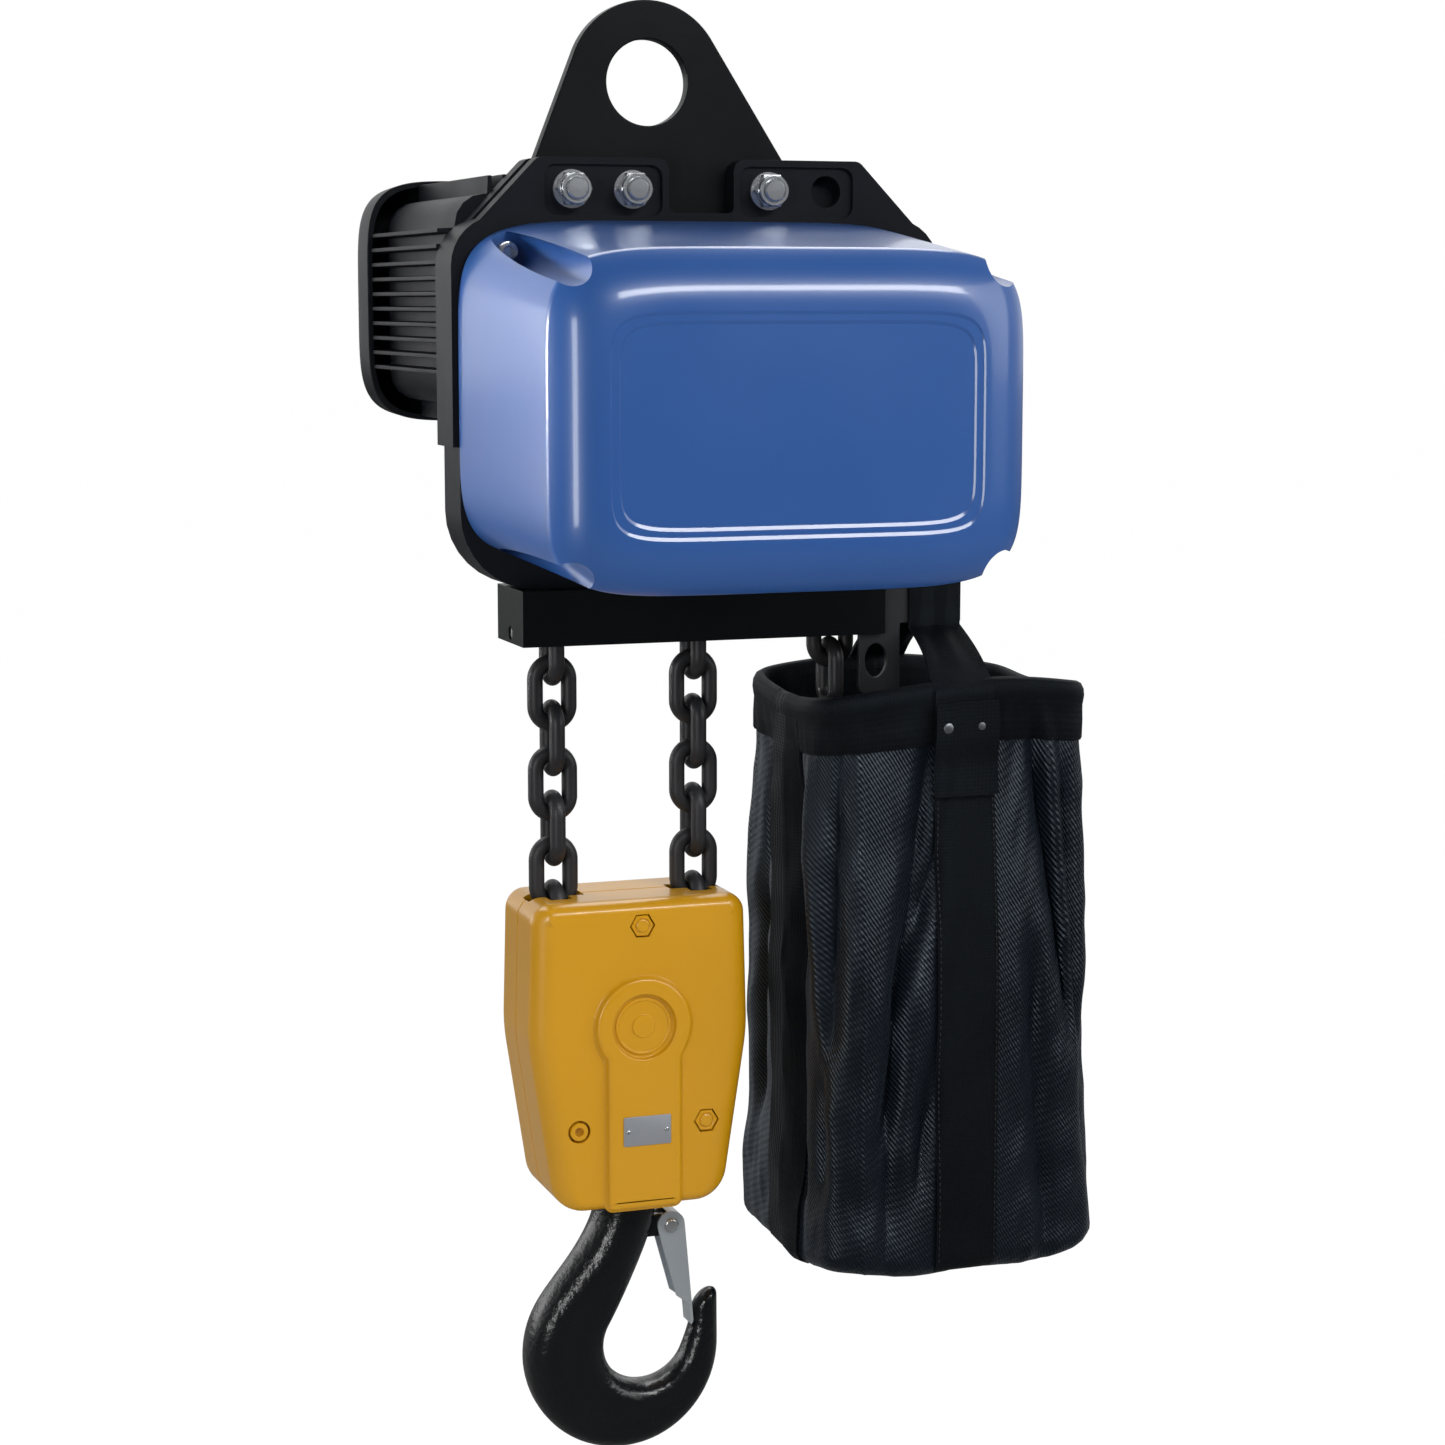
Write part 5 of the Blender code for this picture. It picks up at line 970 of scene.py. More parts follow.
# Hook block
def block_half(z):
    end, half = BLOCK_BOTTOM, BLOCK_HALF_BOTTOM
    if z > BLOCK_MIDDLE_Z:
        end, half = BLOCK_TOP, BLOCK_HALF_TOP
    return blend(BLOCK_HALF_MIDDLE, half, (z - BLOCK_MIDDLE_Z) / (end - BLOCK_MIDDLE_Z))


def block_outline(wall, top, bottom, radii):
    right = [(LOAD_X + block_half(z) - wall, z) for z in (bottom, BLOCK_MIDDLE_Z, top)]
    left = [(2 * LOAD_X - x, z) for x, z in reversed(right)]
    return rounded([left[-1]] + right + left[:-1], [radii[0], *radii, *radii[:0:-1]], 12)


# Corners of the cross that lets links through edge-on and face-on
SLOT, REACH = MOUTH_SLOT_HALF, CHANNEL_HALF
MOUTH = ((SLOT, -REACH), (SLOT, -SLOT), (REACH, -SLOT), (REACH, SLOT), (SLOT, SLOT), (SLOT, REACH),
         (-SLOT, REACH), (-SLOT, SLOT), (-REACH, SLOT), (-REACH, -SLOT), (-SLOT, -SLOT),
         (-SLOT, -REACH))


def block_tools(side):
    """What is cut out of half the block: hollow, chain mouths, bolt pockets and shank bore."""
    wall = BLOCK_WALL
    cavity = block_outline(wall, BLOCK_TOP - wall, BLOCK_BOTTOM + BLOCK_FLOOR, (wall, wall, wall))
    yield prism("cavity", cavity, -side * wall, side * (BLOCK_HALF_DEPTH - 1.4 * wall),
                YELLOW_PAINT)
    for x in (LOAD_X - FALL_REACH, LOAD_X + FALL_REACH):
        mouth = rounded([(x + u, v) for u, v in MOUTH], [MOUTH_ROUND] * len(MOUTH), 4)
        rings = [[Vector((p.x, p.y, z)) for p in mouth]
                 for z in (BLOCK_TOP - 2 * wall, BLOCK_TOP + wall)]
        yield loft("mouth", rings, YELLOW_PAINT)
    for number, spot in enumerate(BLOCK_BOLTS):
        pocket = circle(spot, BOLT_POCKET_RADIUS, 6)
        if side < 0 and number == SOCKET_BOLT:
            pocket = circle(spot, SOCKET_POCKET_RADIUS, 40)
        yield prism("pocket", pocket, side * (BLOCK_HALF_DEPTH - BOLT_POCKET_DEPTH),
                    side * (BLOCK_HALF_DEPTH + 10 * MM), YELLOW_PAINT)
    bore = SHANK_RADIUS + 0.4 * MM
    yield revolve("shank_bore", [(bore, -5 * MM), (bore, BLOCK_FLOOR + 5 * MM)],
                  (LOAD_X, 0, BLOCK_BOTTOM), (0, 0, 1), YELLOW_PAINT)


def block_shell(name, side):
    edge = BLOCK_EDGE_RADIUS
    outline = block_outline(0, BLOCK_TOP, BLOCK_BOTTOM, (edge * 2, edge * 12, edge * 1.2))
    straight = BLOCK_HALF_DEPTH - edge
    rings = [at_depth(inset(outline, BLOCK_SEAM_CHAMFER), side * BLOCK_SEAM / 2),
             at_depth(outline, side * (BLOCK_SEAM / 2 + BLOCK_SEAM_CHAMFER)),
             at_depth(outline, side * straight)]
    for k in range(1, 11):
        a = radians(9 * k)
        drawn = draw_in(outline, BLOCK_SIDE_ROUND * (1 - cos(a)),
                        BLOCK_TOP_ROUND * (1 - cos(a)))
        rings.append(at_depth(drawn, side * (straight + edge * sin(a))))
    shell = loft(name, rings, YELLOW_PAINT)
    carve(shell, *block_tools(side))
    return soften(shell, YELLOW_PAINT, SHELL_EDGE, 35, angle=40)


def keyhole_outline():
    share = degrees(acos(RELIEF_BAND_HALF / RELIEF_RADIUS))
    outline = arc((LOAD_X, SHEAVE_Z), RELIEF_RADIUS, -share, 180 + share, 56)
    z = BLOCK_BOTTOM + 2.0 * MM + FOOT_RADIUS
    for side, start in ((-1, 180), (1, 270)):
        x = LOAD_X + side * (RELIEF_BAND_HALF - FOOT_RADIUS)
        outline += arc((x, z), FOOT_RADIUS, start, start + 90, 8)
    return outline


# Rim of the keyhole as (inset, height), and the recess in it as (radius, height), in millimetres
RELIEF_RIM = ((-2.6, -0.3), (-1.0, 0.6), (-0.2, 1.9), (0.2, 3.0), (0.8, 3.8), (1.8, 4.3),
              (3.4, 4.6), (6.0, 4.8))
RELIEF_RECESS = ((0, 8.0), (26.2, 8.0), (26.0, 4.9), (25.0, 4.2), (24.2, 1.2), (23.6, 0.7),
                 (21.9, 0.6), (21.5, 1.5), (21.0, 1.8), (19.9, 1.8), (19.4, 1.4), (19.0, 1.0),
                 (9.2, 1.0), (8.8, 1.2), (8.4, 1.9), (7.8, 2.1), (0, 2.1))


def block_relief(name, side):
    """Raised keyhole round the sheave axle: a broad round rim, a recess with a ring and a disc."""
    face = BLOCK_HALF_DEPTH
    outline = keyhole_outline()
    rings = [at_depth(outline, side * (face - 12 * MM))]
    rings += [at_depth(inset(outline, shrink), side * (face + rise))
              for shrink, rise in scaled(RELIEF_RIM)]
    relief = loft(name, rings, YELLOW_PAINT, 50)
    carve(relief, revolve("recess", scaled(RELIEF_RECESS), (LOAD_X, side * face, SHEAVE_Z),
                          (0, side, 0), YELLOW_PAINT, 64))
    return keep_flat(shade(relief, YELLOW_PAINT, 40))


def block():
    for side, where in ((-1, "front"), (1, "rear")):
        place(block_shell(f"yellow_{where}_shell", side), "hook_block", "yellow_paint",
              f"block_{where}_shell")
        place(block_relief(f"yellow_{where}_relief", side), "hook_block", "yellow_paint")
    seat = BLOCK_HALF_DEPTH - BOLT_POCKET_DEPTH + 0.2 * MM
    front = [(x, -seat, z) for x, z in BLOCK_BOLTS]
    x, y, z = front.pop(SOCKET_BOLT)
    rear = [(x, seat, z) for x, z in BLOCK_BOLTS]
    copies("block_front_nuts", hexagonal("hex_nut", HEX_NUT, YELLOW_PAINT), front, TO_FRONT, 28,
           "hook_block", "yellow_paint", "block_bolt_1", "block_bolt_3")
    copies("block_front_screw", socket_screw(YELLOW_PAINT), [(x, y + 1.8 * MM, z)], TO_FRONT, 30,
           "hook_block", "yellow_paint", "block_bolt_2")
    copies("block_rear_nuts", hexagonal("hex_nut", HEX_NUT, YELLOW_PAINT), rear, TO_REAR, 28,
           "hook_block", "yellow_paint")
    bare_plate()


def bare_plate():
    """Small bare plate held by two rivets."""
    (across, up), (x, z) = BARE_PLATE_HALF, BARE_PLATE_MIDDLE
    base = -(BLOCK_HALF_DEPTH + RELIEF_HEIGHT)
    face = base - BARE_PLATE_RISE
    corners = [(x + sx * across, z + sz * up) for sx, sz in ((-1, -1), (1, -1), (1, 1), (-1, 1))]
    plate = prism("bare_plate", rounded(corners, [BARE_PLATE_ROUND] * 4, 4), face,
                  base + 0.2 * MM, BARE_PLATE)
    bevel(plate, BARE_PLATE_EDGE)
    place(shade(plate, BARE_PLATE, 30), "hook_block", "zinc")
    points = [(x + side * RIVET_REACH, face, z) for side in (-1, 1)]
    copies("plate_rivets", turned("rivet", RIVET, ZINC, 20), points, TO_FRONT, 40, "hook_block",
           "zinc")


# Hook and latch
def smooth_step(value):
    value = max(0.0, min(1.0, value))
    return value * value * (3 - 2 * value)


def hermite(start, start_pull, end, end_pull, t):
    return (start * (2 * t ** 3 - 3 * t ** 2 + 1) + start_pull * (t ** 3 - 2 * t ** 2 + t)
            + end * (3 * t ** 2 - 2 * t ** 3) + end_pull * (t ** 3 - t ** 2))


def hook_point(centre, radius, angle):
    a = radians(angle)
    return Vector((LOAD_X + centre[0] + radius * cos(a),
                   BLOCK_BOTTOM + centre[1] + radius * sin(a)))


def bowl_point(angle):
    past = max(0.0, (angle - HOOK_FLARE_ANGLE) / (HOOK_TIP_ANGLE - HOOK_FLARE_ANGLE))
    return hook_point(HOOK_BOWL_CENTRE, HOOK_BOWL_RADIUS + HOOK_TIP_FLARE * past ** 2, angle)


def outer_point(angle):
    upright = cos(radians(max(0.0, angle - 360)))
    return hook_point(HOOK_OUTER_CENTRE, HOOK_OUTER_RADIUS / upright, angle)


def hook_stations():
    """Outer edge, inner edge, half thickness and flatness along the hook, from neck to tip."""
    neck = BLOCK_BOTTOM - HOOK_GAP
    down = Vector((0, -HOOK_NECK_PULL))
    back = radians(HOOK_BACK_ANGLE)
    along = Vector((-sin(back), cos(back))) * HOOK_NECK_PULL
    stations = []
    for k in range(24):
        t = k / 24
        outer = hermite(Vector((LOAD_X - NECK_RADIUS, neck)), down,
                        outer_point(HOOK_BACK_ANGLE), along, t)
        inner = hermite(Vector((LOAD_X + NECK_RADIUS, neck)), down,
                        bowl_point(HOOK_BACK_ANGLE), along, t)
        stations.append((outer, inner, NECK_RADIUS, smooth_step((t - 0.45) / 0.55)))
    for k in range(61):
        t = k / 60
        angle = blend(HOOK_BACK_ANGLE, HOOK_TIP_ANGLE, t)
        thickness = blend(NECK_RADIUS, HOOK_TIP_RADIUS, t ** 2)
        flat = 1.0 - smooth_step((t - 0.55) / 0.4)
        stations.append((outer_point(angle), bowl_point(angle), thickness, flat))
    outer, inner, thickness, flat = stations[-1]
    middle = (outer + inner) / 2
    ahead = (middle - (stations[-2][0] + stations[-2][1]) / 2).normalized() * HOOK_TIP_RADIUS
    for k in range(1, 9):
        a = radians(10.6 * k)
        share = cos(a)
        lift = ahead * sin(a)
        stations.append((blend(middle, outer, share) + lift, blend(middle, inner, share) + lift,
                         thickness * share, flat))
    return stations


def forged_ring(outer, inner, thickness, flat, sides=56):
    """Section of the forging: round at the neck, then flat-sided with a rim along its back."""
    middle = (outer + inner) / 2
    reach = (outer - inner) / 2
    ring = []
    for i in range(sides):
        a = 2 * pi * i / sides
        across = signed_power(cos(a), 1.0 - HOOK_FLATTER[0] * flat)
        proud = signed_power(sin(a), 1.0 - HOOK_FLATTER[1] * flat)
        hollow = exp(-((across - HOOK_WEB_AT) / HOOK_WEB_SPREAD) ** 2)
        web = 1.0 - HOOK_WEB_DEPTH * flat * hollow
        spot = middle + reach * across
        ring.append(Vector((spot.x, thickness * proud * web, spot.y)))
    return ring


def forged_hook():
    """Hook with an ear for the latch's pin."""
    hook = loft("forged_hook", [forged_ring(*station) for station in hook_stations()], HOOK_BLACK,
                60)
    root = Vector((LOAD_X + NECK_RADIUS / 2, LATCH_PIVOT[1]))
    outline = arc(LATCH_PIVOT, EAR_RADIUS, -90, 90, 16) + arc(root, EAR_RADIUS, 90, 270, 16)
    ear = prism("ear", outline, -7.2 * MM, 0.3 * MM, HOOK_BLACK)
    bevel(ear, EAR_EDGE)
    carve(hook, ear, operation="UNION")
    place(shade(hook, HOOK_BLACK, 45), "load_hook", "black_steel", "hook")


def latch():
    """Sheet-metal latch whose cheeks end short of its tip, on a headed pin."""
    pivot = Vector(LATCH_PIVOT)
    nose = Vector(LATCH_NOSE)
    length = (nose - pivot).length
    along = (nose - pivot).normalized()
    aside = Vector((-along.y, along.x))

    def web(distance):
        half = blend(LATCH_HEAD, LATCH_TIP, distance / length)
        return pivot + along * distance + aside * (half - LATCH_SHEET)

    last = web(length + 12 * MM)
    corners = [web(length * 0.84), last, last - aside * 30 * MM,
               web(length * 0.46) - aside * 30 * MM]
    ends = prism("cheek_ends", corners, -20 * MM, 20 * MM, ZINC)
    dress("latch", "latch_flap", LATCH_ZINC, "safety_latch", "zinc", 30, ends)
    low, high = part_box("latch_pin")
    shank = [(PIN_RADIUS, low[1]), (PIN_RADIUS, high[1])]
    pin = revolve("latch_pin_shank", shank, (pivot.x, 0, pivot.y), (0, 1, 0), ZINC, 32)
    place(pin, "load_hook", "zinc", "latch_pin")
    for name, y, turn in (("latch_pin_head", low[1] + PIN_HEAD_SUNK, TO_FRONT),
                          ("latch_pin_end", high[1] - PIN_HEAD_SUNK, TO_REAR)):
        copies(name, turned("pin_head", PIN_HEAD, ZINC, 32), [(pivot.x, y, pivot.y)], turn, 50,
               "load_hook", "zinc")


# Chain bag
def perimeter_table(samples=2400):
    """Share of the outline's length at equal steps of its angle."""
    outline = squircle((0, 0), BAG_BELLY_HALF, BAG_SQUARENESS, samples)
    reach = [0.0]
    for i in range(samples):
        reach.append(reach[-1] + (outline[(i + 1) % samples] - outline[i]).length)
    return [r / reach[-1] for r in reach]


PERIMETER = perimeter_table()


def outline_angle(share):
    """Angle of the outline at a share of its length, from the right side round by the rear."""
    share = share % 1.0
    i = max(1, bisect.bisect_left(PERIMETER, share))
    part = (share - PERIMETER[i - 1]) / (PERIMETER[i] - PERIMETER[i - 1])
    return 2 * pi * (i - 1 + part + 0.5) / (len(PERIMETER) - 1)


def outline_point(share):
    """Point of the bag's outline, between -1 and 1 both ways."""
    angle = outline_angle(share)
    return (signed_power(cos(angle), 2 / BAG_SQUARENESS),
            signed_power(sin(angle), 2 / BAG_SQUARENESS))


def strap_share(x, rear=False):
    """Share of the outline where the bag's front or rear lies at a distance from the sling."""
    low, high = (0.15, 0.35) if rear else (0.65, 0.85)
    for _ in range(40):
        middle = (low + high) / 2
        if (BAG_BELLY_HALF[0] * outline_point(middle)[0] < SLING_X - BAG_X + x) != rear:
            low = middle
        else:
            high = middle
    return (low + high) / 2


STRAP_SHARE = strap_share(0.0)
SEAMS = (0.117, 0.383, 0.617, 0.883)

# Folds of the cloth: where they start and end, as a share of the outline and of the height,
# then their width and depth in millimetres
FOLDS = (
    ((0.722, 0.07), (0.652, 0.52), 9.0, -7.5), ((0.708, 0.08), (0.640, 0.66), 8.0, 5.0),
    ((0.688, 0.10), (0.632, 0.80), 9.0, -5.5), ((0.735, 0.30), (0.668, 0.86), 11.0, -5.0),
    ((0.728, 0.50), (0.690, 0.97), 10.0, 4.5), ((0.655, 0.40), (0.642, 0.96), 8.0, -5.0),
    ((0.800, 0.07), (0.846, 0.60), 9.0, -7.0), ((0.815, 0.06), (0.862, 0.74), 9.0, 4.5),
    ((0.832, 0.10), (0.872, 0.90), 10.0, -5.0), ((0.790, 0.40), (0.812, 0.97), 10.0, -4.0),
    ((0.600, 0.08), (0.570, 0.90), 10.0, -5.0), ((0.560, 0.12), (0.590, 0.80), 9.0, 4.0),
    ((0.520, 0.10), (0.535, 0.95), 11.0, -5.0), ((0.440, 0.10), (0.410, 0.80), 11.0, -6.0),
    ((0.330, 0.08), (0.370, 0.75), 10.0, -6.0), ((0.280, 0.10), (0.245, 0.85), 11.0, 5.0),
    ((0.180, 0.10), (0.140, 0.80), 10.0, -6.0), ((0.060, 0.08), (0.020, 0.85), 11.0, -5.0),
    ((0.960, 0.10), (0.990, 0.90), 10.0, -5.0), ((0.905, 0.08), (0.935, 0.80), 9.0, 4.0))
FOLD_GAIN = 2.3
SEAM_WIDTH = 1.6
SEAM_HEIGHT = 1.4
CRUMPLES = (3.4, 1.8)
CREASES = 1.4
CALM_HALF = 24.0 * MM
CALM_FADE = 16.0 * MM
HEM_SHARE = 0.09


def fold_depth(share, drop):
    """How far the cloth stands out of its plain form."""
    depth = 0.0
    for (s0, v0), (s1, v1), width, height in FOLDS:
        t = (drop - v0) / (v1 - v0)
        if -0.15 < t < 1.15:
            near = (share - blend(s0, s1, t)) * BAG_ROUND / MM / width
            fade = smooth_step((t + 0.15) / 0.35) * smooth_step((1.15 - t) / 0.45)
            depth += FOLD_GAIN * height * exp(-abs(near) ** 1.6) * fade
    for seam in SEAMS:
        near = (share - seam) * BAG_ROUND / MM / SEAM_WIDTH
        depth += SEAM_HEIGHT * exp(-near * near)
    angle = 2 * pi * share
    spot = Vector((cos(angle) * 2.2, sin(angle) * 2.2, drop * 5.0))
    crumple = CRUMPLES[0] * noise.noise(spot) + CRUMPLES[1] * noise.noise(spot * 2.7)
    crease = Vector((spot.x * 3.1 + drop * 4, spot.y * 3.1, drop * 6))
    creased = CREASES * (1 - 2 * abs(noise.noise(crease)))
    aside = abs(share - STRAP_SHARE) * BAG_ROUND
    calm = 0.1 + 0.9 * smooth_step((aside - CALM_HALF) / CALM_FADE)
    return (depth + crumple + creased) * calm * smooth_step(drop / HEM_SHARE) * MM


def bag_point(share, drop, out=0.0):
    """Point of the bag's cloth at a share round it and a share of its height below the rim."""
    fill = smooth_step(drop / 0.5)
    turn = radians(80) * max(0.0, drop - BAG_TURN) / (1 - BAG_TURN)
    tuck = BAG_BOTTOM_RADIUS * (1 - cos(turn))
    down = BAG_HEIGHT * min(drop, BAG_TURN) + BAG_BOTTOM_RADIUS * sin(turn)
    halves = [blend(rim, belly, fill) - tuck
              for rim, belly in zip(BAG_RIM_HALF, BAG_BELLY_HALF)]
    x, y = outline_point(share)
    normal = Vector((signed_power(x, BAG_SQUARENESS - 1) / halves[0],
                     signed_power(y, BAG_SQUARENESS - 1) / halves[1])).normalized()
    stand = out + fold_depth(share, drop)
    droop = RIM_DROOP * cos(4 * pi * share) * smooth_step(1 - drop / 0.2)
    pull = BOTTOM_LIFT + CORNER_LIFT * abs(x * y) ** 2
    scallop = SCALLOP * sin(2 * pi * (share * 7 + 0.1))
    lift = (pull + scallop) * smooth_step((drop - 0.72) / 0.28)
    slim = SLIM_RIM - SLIM_LOSS * smooth_step((drop - 0.6) / 0.4)
    return Vector((BAG_X + halves[0] * x * (1 - slim * max(0.0, x)) + normal.x * stand,
                   halves[1] * y + normal.y * stand, BAG_RIM_Z - down - droop + lift))


def cloth_piece(name, rows, material, closed, size, thickness, *nodes):
    """Places a sheet through rows of points, with a UV map in metres and a real thickness."""
    count = len(rows[0])
    span = count if closed else count - 1
    faces = []
    corners = []
    for r in range(len(rows) - 1):
        for i in range(span):
            j = (i + 1) % count
            faces.append((r * count + i, r * count + j,
                          (r + 1) * count + j, (r + 1) * count + i))
            corners += [(i, r), (i + 1, r), (i + 1, r + 1), (i, r + 1)]
    made = mesh_object(name, [p for row in rows for p in row], [], faces)
    layer = made.data.uv_layers.new(name="UVMap")
    for k, (i, r) in enumerate(corners):
        layer.data[k].uv = (i / span * size[0], r / (len(rows) - 1) * size[1])
    modify(made, "SOLIDIFY", thickness=thickness, offset=-1.0)
    place(shade(made, material, 60), "frame", "bag_fabric", *nodes)


# Section of the hem: how far it stands out in millimetres, and its share of the bag's height
HEM = ((-4.4, 0.080), (-4.8, 0.010), (-4.4, -0.004), (-2.4, -0.011), (0.2, -0.013), (2.8, -0.010),
       (4.6, -0.002), (5.0, 0.008), (4.2, 0.018), (3.5, 0.024), (3.4, 0.050), (3.2, 0.078),
       (2.2, 0.082))


def bag_cloth():
    around = 360
    rows = [[bag_point(k / around, drop / 110) for k in range(around)] for drop in range(111)]
    edge = rows[-1]
    for share in (0.94, 0.8, 0.55, 0.3, 0.1, 0.004):
        rows.append([Vector((BAG_X + (p.x - BAG_X) * share, p.y * share,
                             p.z - BAG_SAG * (1 - share ** 4))) for p in edge])
    cloth_piece("bag_cloth", rows, NYLON, True, (BAG_ROUND, BAG_HEIGHT * 1.2), BAG_CLOTH,
                "chain_bag")
    rows = []
    for out, drop in HEM:
        above = Vector((0, 0, -BAG_HEIGHT * min(drop, 0.0)))
        rows.append([bag_point(k / around, max(drop, 0.0), out * MM) + above
                     for k in range(around)])
    cloth_piece("bag_hem", rows, WEBBING_CLOTH, True, (BAG_ROUND, 0.09), HEM_CLOTH)


STRAP_STEPS = 16


def strap_row(drop, width, out, rear=False):
    """Row of points across the webbing on the bag."""
    row = []
    for k in range(STRAP_STEPS + 1):
        bulge = STRAP_BULGE * (1 - (2 * k / STRAP_STEPS - 1) ** 2)
        share = strap_share(width * (k / STRAP_STEPS - 0.5), rear)
        row.append(bag_point(share, drop, out + bulge))
    return row


def strap_cross(y, z):
    """Row of points across the webbing above the bag."""
    return [Vector((SLING_X + SLING_TOP_WIDTH * (k / STRAP_STEPS - 0.5), y, z))
            for k in range(STRAP_STEPS + 1)]


def strap_out(drop):
    """How far the webbing stands off the cloth: more where it crosses the hem."""
    return STRAP_OFF + STRAP_OVER_HEM * (1 - smooth_step((drop - 0.07) / 0.05))


def strap_run(rear):
    """Rows of the webbing from the bracket's arm down one side of the bag."""
    sign = 1 if rear else -1
    arm = sign * (ARM_HALF_DEPTH + ARM_GAP)
    rows = [strap_cross(arm, ARM_TOP + ARM_GAP), strap_cross(arm, ARM_BOTTOM - 2 * MM)]
    start = rows[-1]
    end = strap_row(0.0, SLING_WIDTH, strap_out(0.0), rear)
    for k in range(1, 14):
        t = k / 14
        bow = STRAP_BOW * sin(pi * t)
        gather = STRAP_PLEAT * sin(pi * min(1.0, t * 1.3 + 0.1))
        row = []
        for i, (a, b) in enumerate(zip(start, end)):
            pleat = gather * sin(i * pi / 4 + 2.0 * t)
            row.append(a.lerp(b, smooth_step(t) * 0.35 + t * 0.65)
                       + Vector((0, sign * (bow + pleat), 0)))
        rows.append(row)
    return rows + [strap_row(drop / 90, SLING_WIDTH, strap_out(drop / 90), rear)
                   for drop in range(91)]


def bag_sling():
    """Webbing loop over the bracket's arm and under the bag, and its patch and side strap."""
    front, rear = strap_run(False), strap_run(True)
    under = []
    for k in range(1, 12):
        t = k / 12
        sag = Vector((0, 0, -STRAP_SAG * min(1.0, 3.5 * min(t, 1 - t))))
        under.append([a.lerp(b, t) + sag for a, b in zip(front[-1], rear[-1])])
    rows = front[::-1] + rear + under[::-1]
    cloth_piece("sling", rows + rows[:1], WEBBING_CLOTH, False, (SLING_WIDTH, 1.3), WEBBING,
                "bag_sling")
    rows = []
    for k in range(31):
        drop = blend(PATCH_TOP, PATCH_BOTTOM, k / 30)
        rows.append(strap_row(drop, SLING_WIDTH + 2.0 * MM, strap_out(drop) + PATCH_OFF))
    cloth_piece("sling_fold", rows, WEBBING_CLOTH, False, (SLING_WIDTH, 0.065), WEBBING)
    shares = [0.5 + (k / 8 - 0.5) * SIDE_STRAP_SHARE for k in range(9)]
    rows = [[bag_point(share, drop / 60, SIDE_STRAP_OFF) for share in shares]
            for drop in range(61)]
    cloth_piece("side_webbing", rows, WEBBING_CLOTH, False, (0.046, BAG_HEIGHT), SIDE_WEBBING)


def bag_snaps():
    out = strap_out(SNAP_DROP) + SNAP_OFF
    points = [bag_point(strap_share(x), SNAP_DROP, out) for x in SNAPS]
    copies("sling_snaps", turned("snap", SNAP, SNAP_METAL, 28, 60), points, TO_FRONT, 60, "frame",
           "zinc")


def bag_stitches():
    """Rows of stitches along the webbing and the seams."""
    lines = []

    def down(share, start, end, out, webbing=False):
        drops = [drop / 100 for drop in range(start, end)]
        lines.append([bag_point(share, drop, strap_out(drop) * webbing + out) for drop in drops])

    for side in (-1, 1):
        down(strap_share(side * (SLING_WIDTH / 2 - 2.0 * MM)), 17, 97, 0.4 * MM, True)
    for drop, half in ((PATCH_TOP + 0.006, 0.5), (0.126, 0.16), (PATCH_BOTTOM - 0.006, 0.48)):
        shares = [strap_share(SLING_WIDTH * half * (k / 10 - 1)) for k in range(21)]
        lines.append([bag_point(share, drop, strap_out(drop) + 4.2 * MM) for share in shares])
    for drop, out in ((0.070, 3.6 * MM), (0.90, 0.3 * MM)):
        lines.append([bag_point(k / 300, drop, out) for k in range(301)])
    for side in (-1, 1):
        down(0.5 + side * 0.026, 2, 96, 3.2 * MM)
    for seam in SEAMS:
        down(seam + 0.008, 9, 96, 0.2 * MM)
    points = []
    edges = []
    for line in lines:
        edges += [(len(points) + i, len(points) + i + 1) for i in range(len(line) - 1)]
        points += line
    made = run_tree("stitches", STITCH_TREE, {"Finish": THREAD},
                    mesh_object("stitch_lines", points, edges, []))
    place(made, "frame", "bag_fabric")


# Solids that keep their own shape
PLAIN_FINISHES = {
    BARE_STEEL: ("motor_rotor", "reduction_gear", "load_wheel", "brake_magnet", "gear_lid",
                 "chain_anchor_pin", "sheave_axle", "return_sheave", "thrust_bearing", "hook_nut",
                 "latch_spring"),
    COPPER: ("stator",), RUBBER: ("cover_gasket", "brake_disc"), GREY_PLASTIC: ("control_unit",)}


def plain_solids():
    for material, names in PLAIN_FINISHES.items():
        for name in names:
            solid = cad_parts[name]
            solid.data.materials.clear()
            solid.data.materials.append(material)


# Studio
def mix(tree, factor, off, on):
    made = node(tree, "ShaderNodeMix", {"Factor": factor, "A": off, "B": on})
    return made.outputs["Result"]


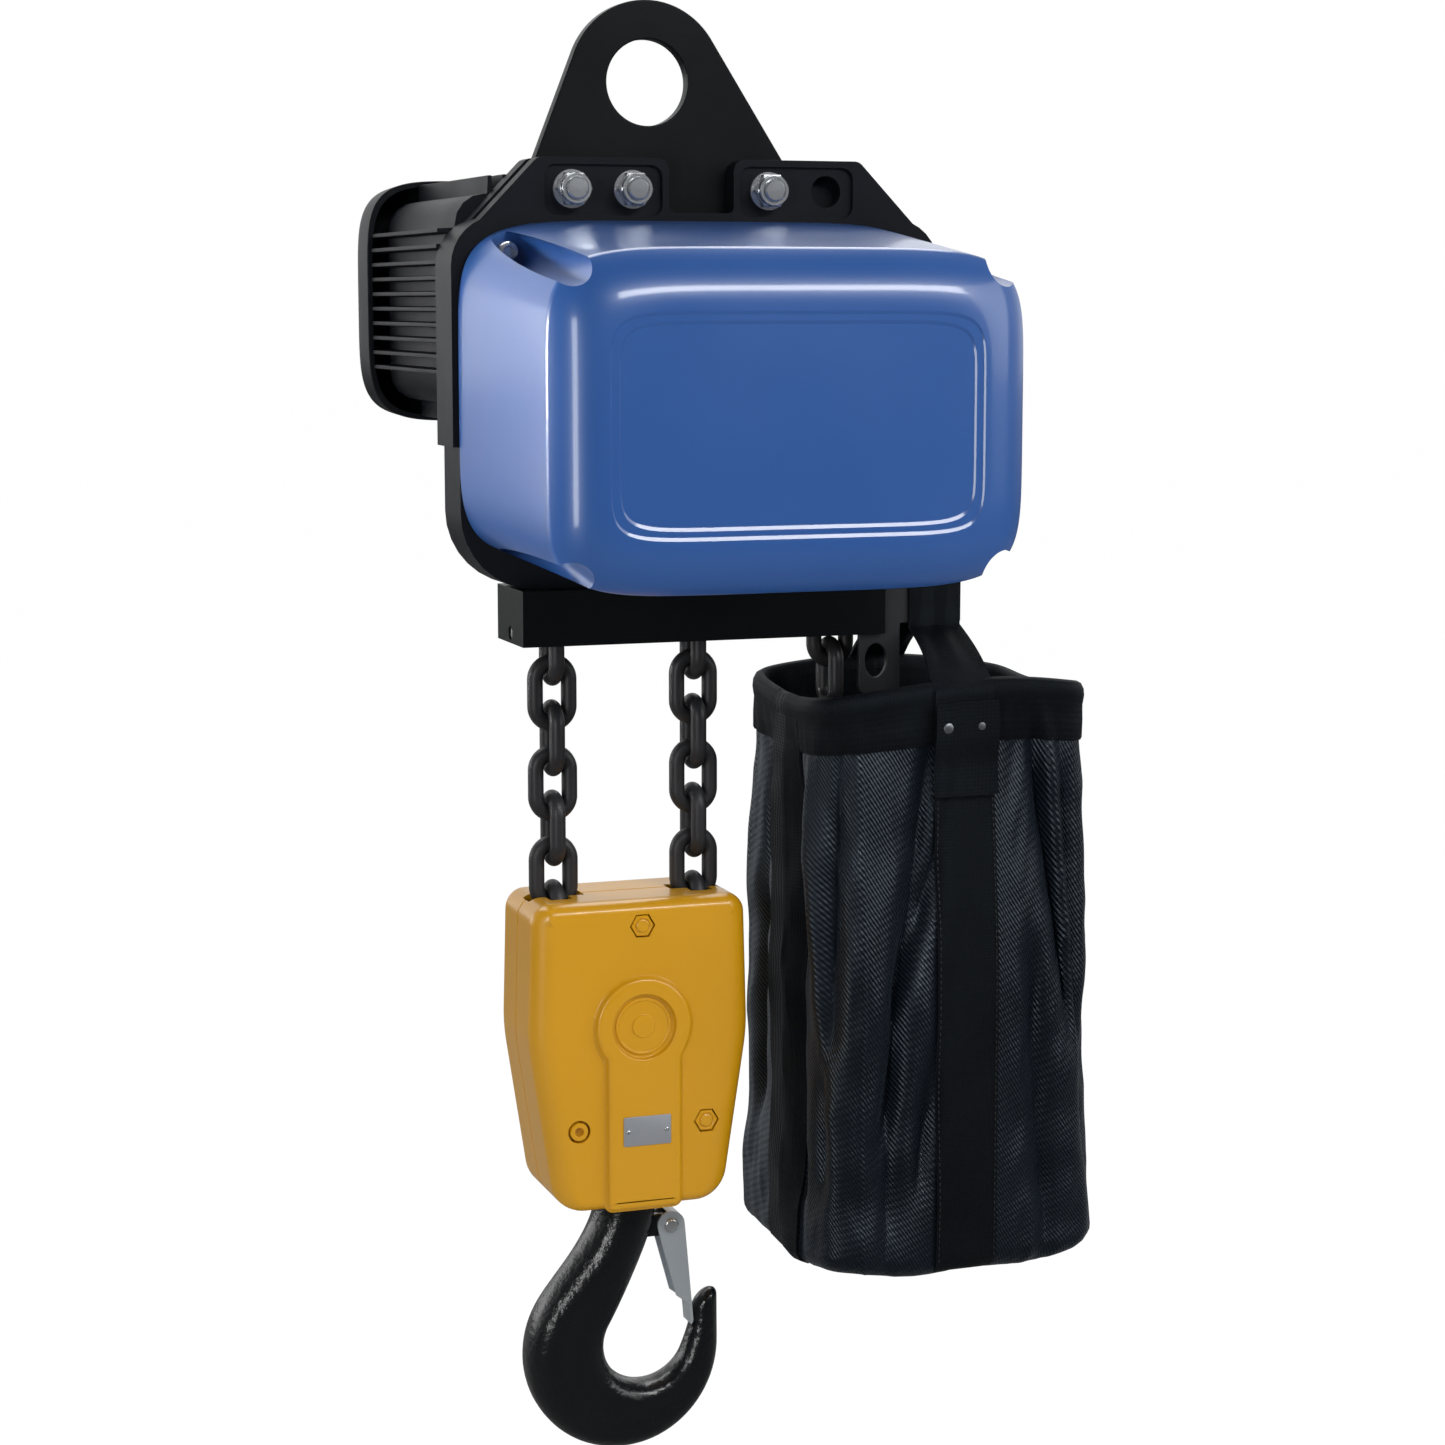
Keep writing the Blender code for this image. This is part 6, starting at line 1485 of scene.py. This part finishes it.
def studio():
    """White for the camera, a dim room for the light, and a wall bright at the rear for gloss."""
    world = bpy.data.worlds.new("studio")
    bpy.context.scene.world = world
    world.use_nodes = True
    tree = world.node_tree
    rays = node(tree, "ShaderNodeLightPath").outputs
    seen = calc(tree, "MAXIMUM", rays["Is Camera Ray"], rays["Is Transmission Ray"])
    facing = split(tree, own_place(tree, "Generated"))
    shown = times(tree, ramp(tree, facing["Y"], -0.3, 0.4, *WALL_IN_GLOSS),
                  ramp(tree, facing["Z"], 0.25, 0.7, *CEILING_IN_GLOSS))
    level = mix(tree, seen, mix(tree, rays["Is Glossy Ray"], ROOM_LIGHT, shown), 1.0)
    feed(tree, tree.nodes["Background"].inputs, {"Color": (1, 1, 1, 1), "Strength": level})
    for name, values in LAMPS.items():
        lamp(name, *values)
    floor()
    camera()


def aim(made, spot, ahead):
    made.location = spot
    made.rotation_euler = Vector(ahead).to_track_quat("-Z", "Y").to_euler()


def lamp(name, spot, target, size, power, beam):
    light = bpy.data.lights.new(name, "AREA")
    light.shape = "RECTANGLE"
    light.size, light.size_y = size
    light.energy = power
    light.spread = radians(beam)
    aim(add_object(name, light), spot, Vector(target) - Vector(spot))


def floor():
    """Pale floor below the part, white to the camera and dark in gloss."""
    material, tree, shader = new_material("pale_floor")
    rays = node(tree, "ShaderNodeLightPath").outputs
    far = ramp(tree, split(tree, own_place(tree))["Y"], -0.6, 0.6, *FLOOR_IN_GLOSS)
    tone = mix(tree, rays["Is Glossy Ray"], FLOOR_TONE, far)
    feed(tree, shader.inputs, {"Base Color": tone, "Roughness": 0.9})
    glow = first(tree, "ShaderNodeEmission", {"Color": (1, 1, 1, 1), "Strength": FLOOR_GLOW})
    share = times(tree, rays["Is Camera Ray"], FLOOR_GLOW_SHARE)
    mixed = first(tree, "ShaderNodeMixShader", {0: share, 1: shader.outputs[0], 2: glow})
    feed(tree, tree.nodes["Material Output"].inputs, {"Surface": mixed})
    corners = [(x * FLOOR_REACH, y * FLOOR_REACH, CAD_BOX[0][2] - FLOOR_GAP)
               for x, y in ((-1, -1), (1, -1), (1, 1), (-1, 1))]
    new_object("floor", corners, [(0, 1, 2, 3)], material)


def camera():
    view = bpy.data.cameras.new("photo_camera")
    view.lens = CAMERA_LENS
    view.sensor_width = 36.0
    view.clip_end = 100.0
    made = add_object("photo_camera", view)
    aim(made, CAMERA_AT, CAMERA_AHEAD)
    bpy.context.scene.camera = made


def main():
    bpy.context.scene.view_settings.view_transform = "Standard"
    for build in (studio, plain_solids, suspension_plate, housing, suspension_nuts, control_cover,
                  cover_screws, motor, chain, guide_bar, block, forged_hook, latch, bag_cloth,
                  bag_sling, bag_snaps, bag_stitches):
        build()


main()
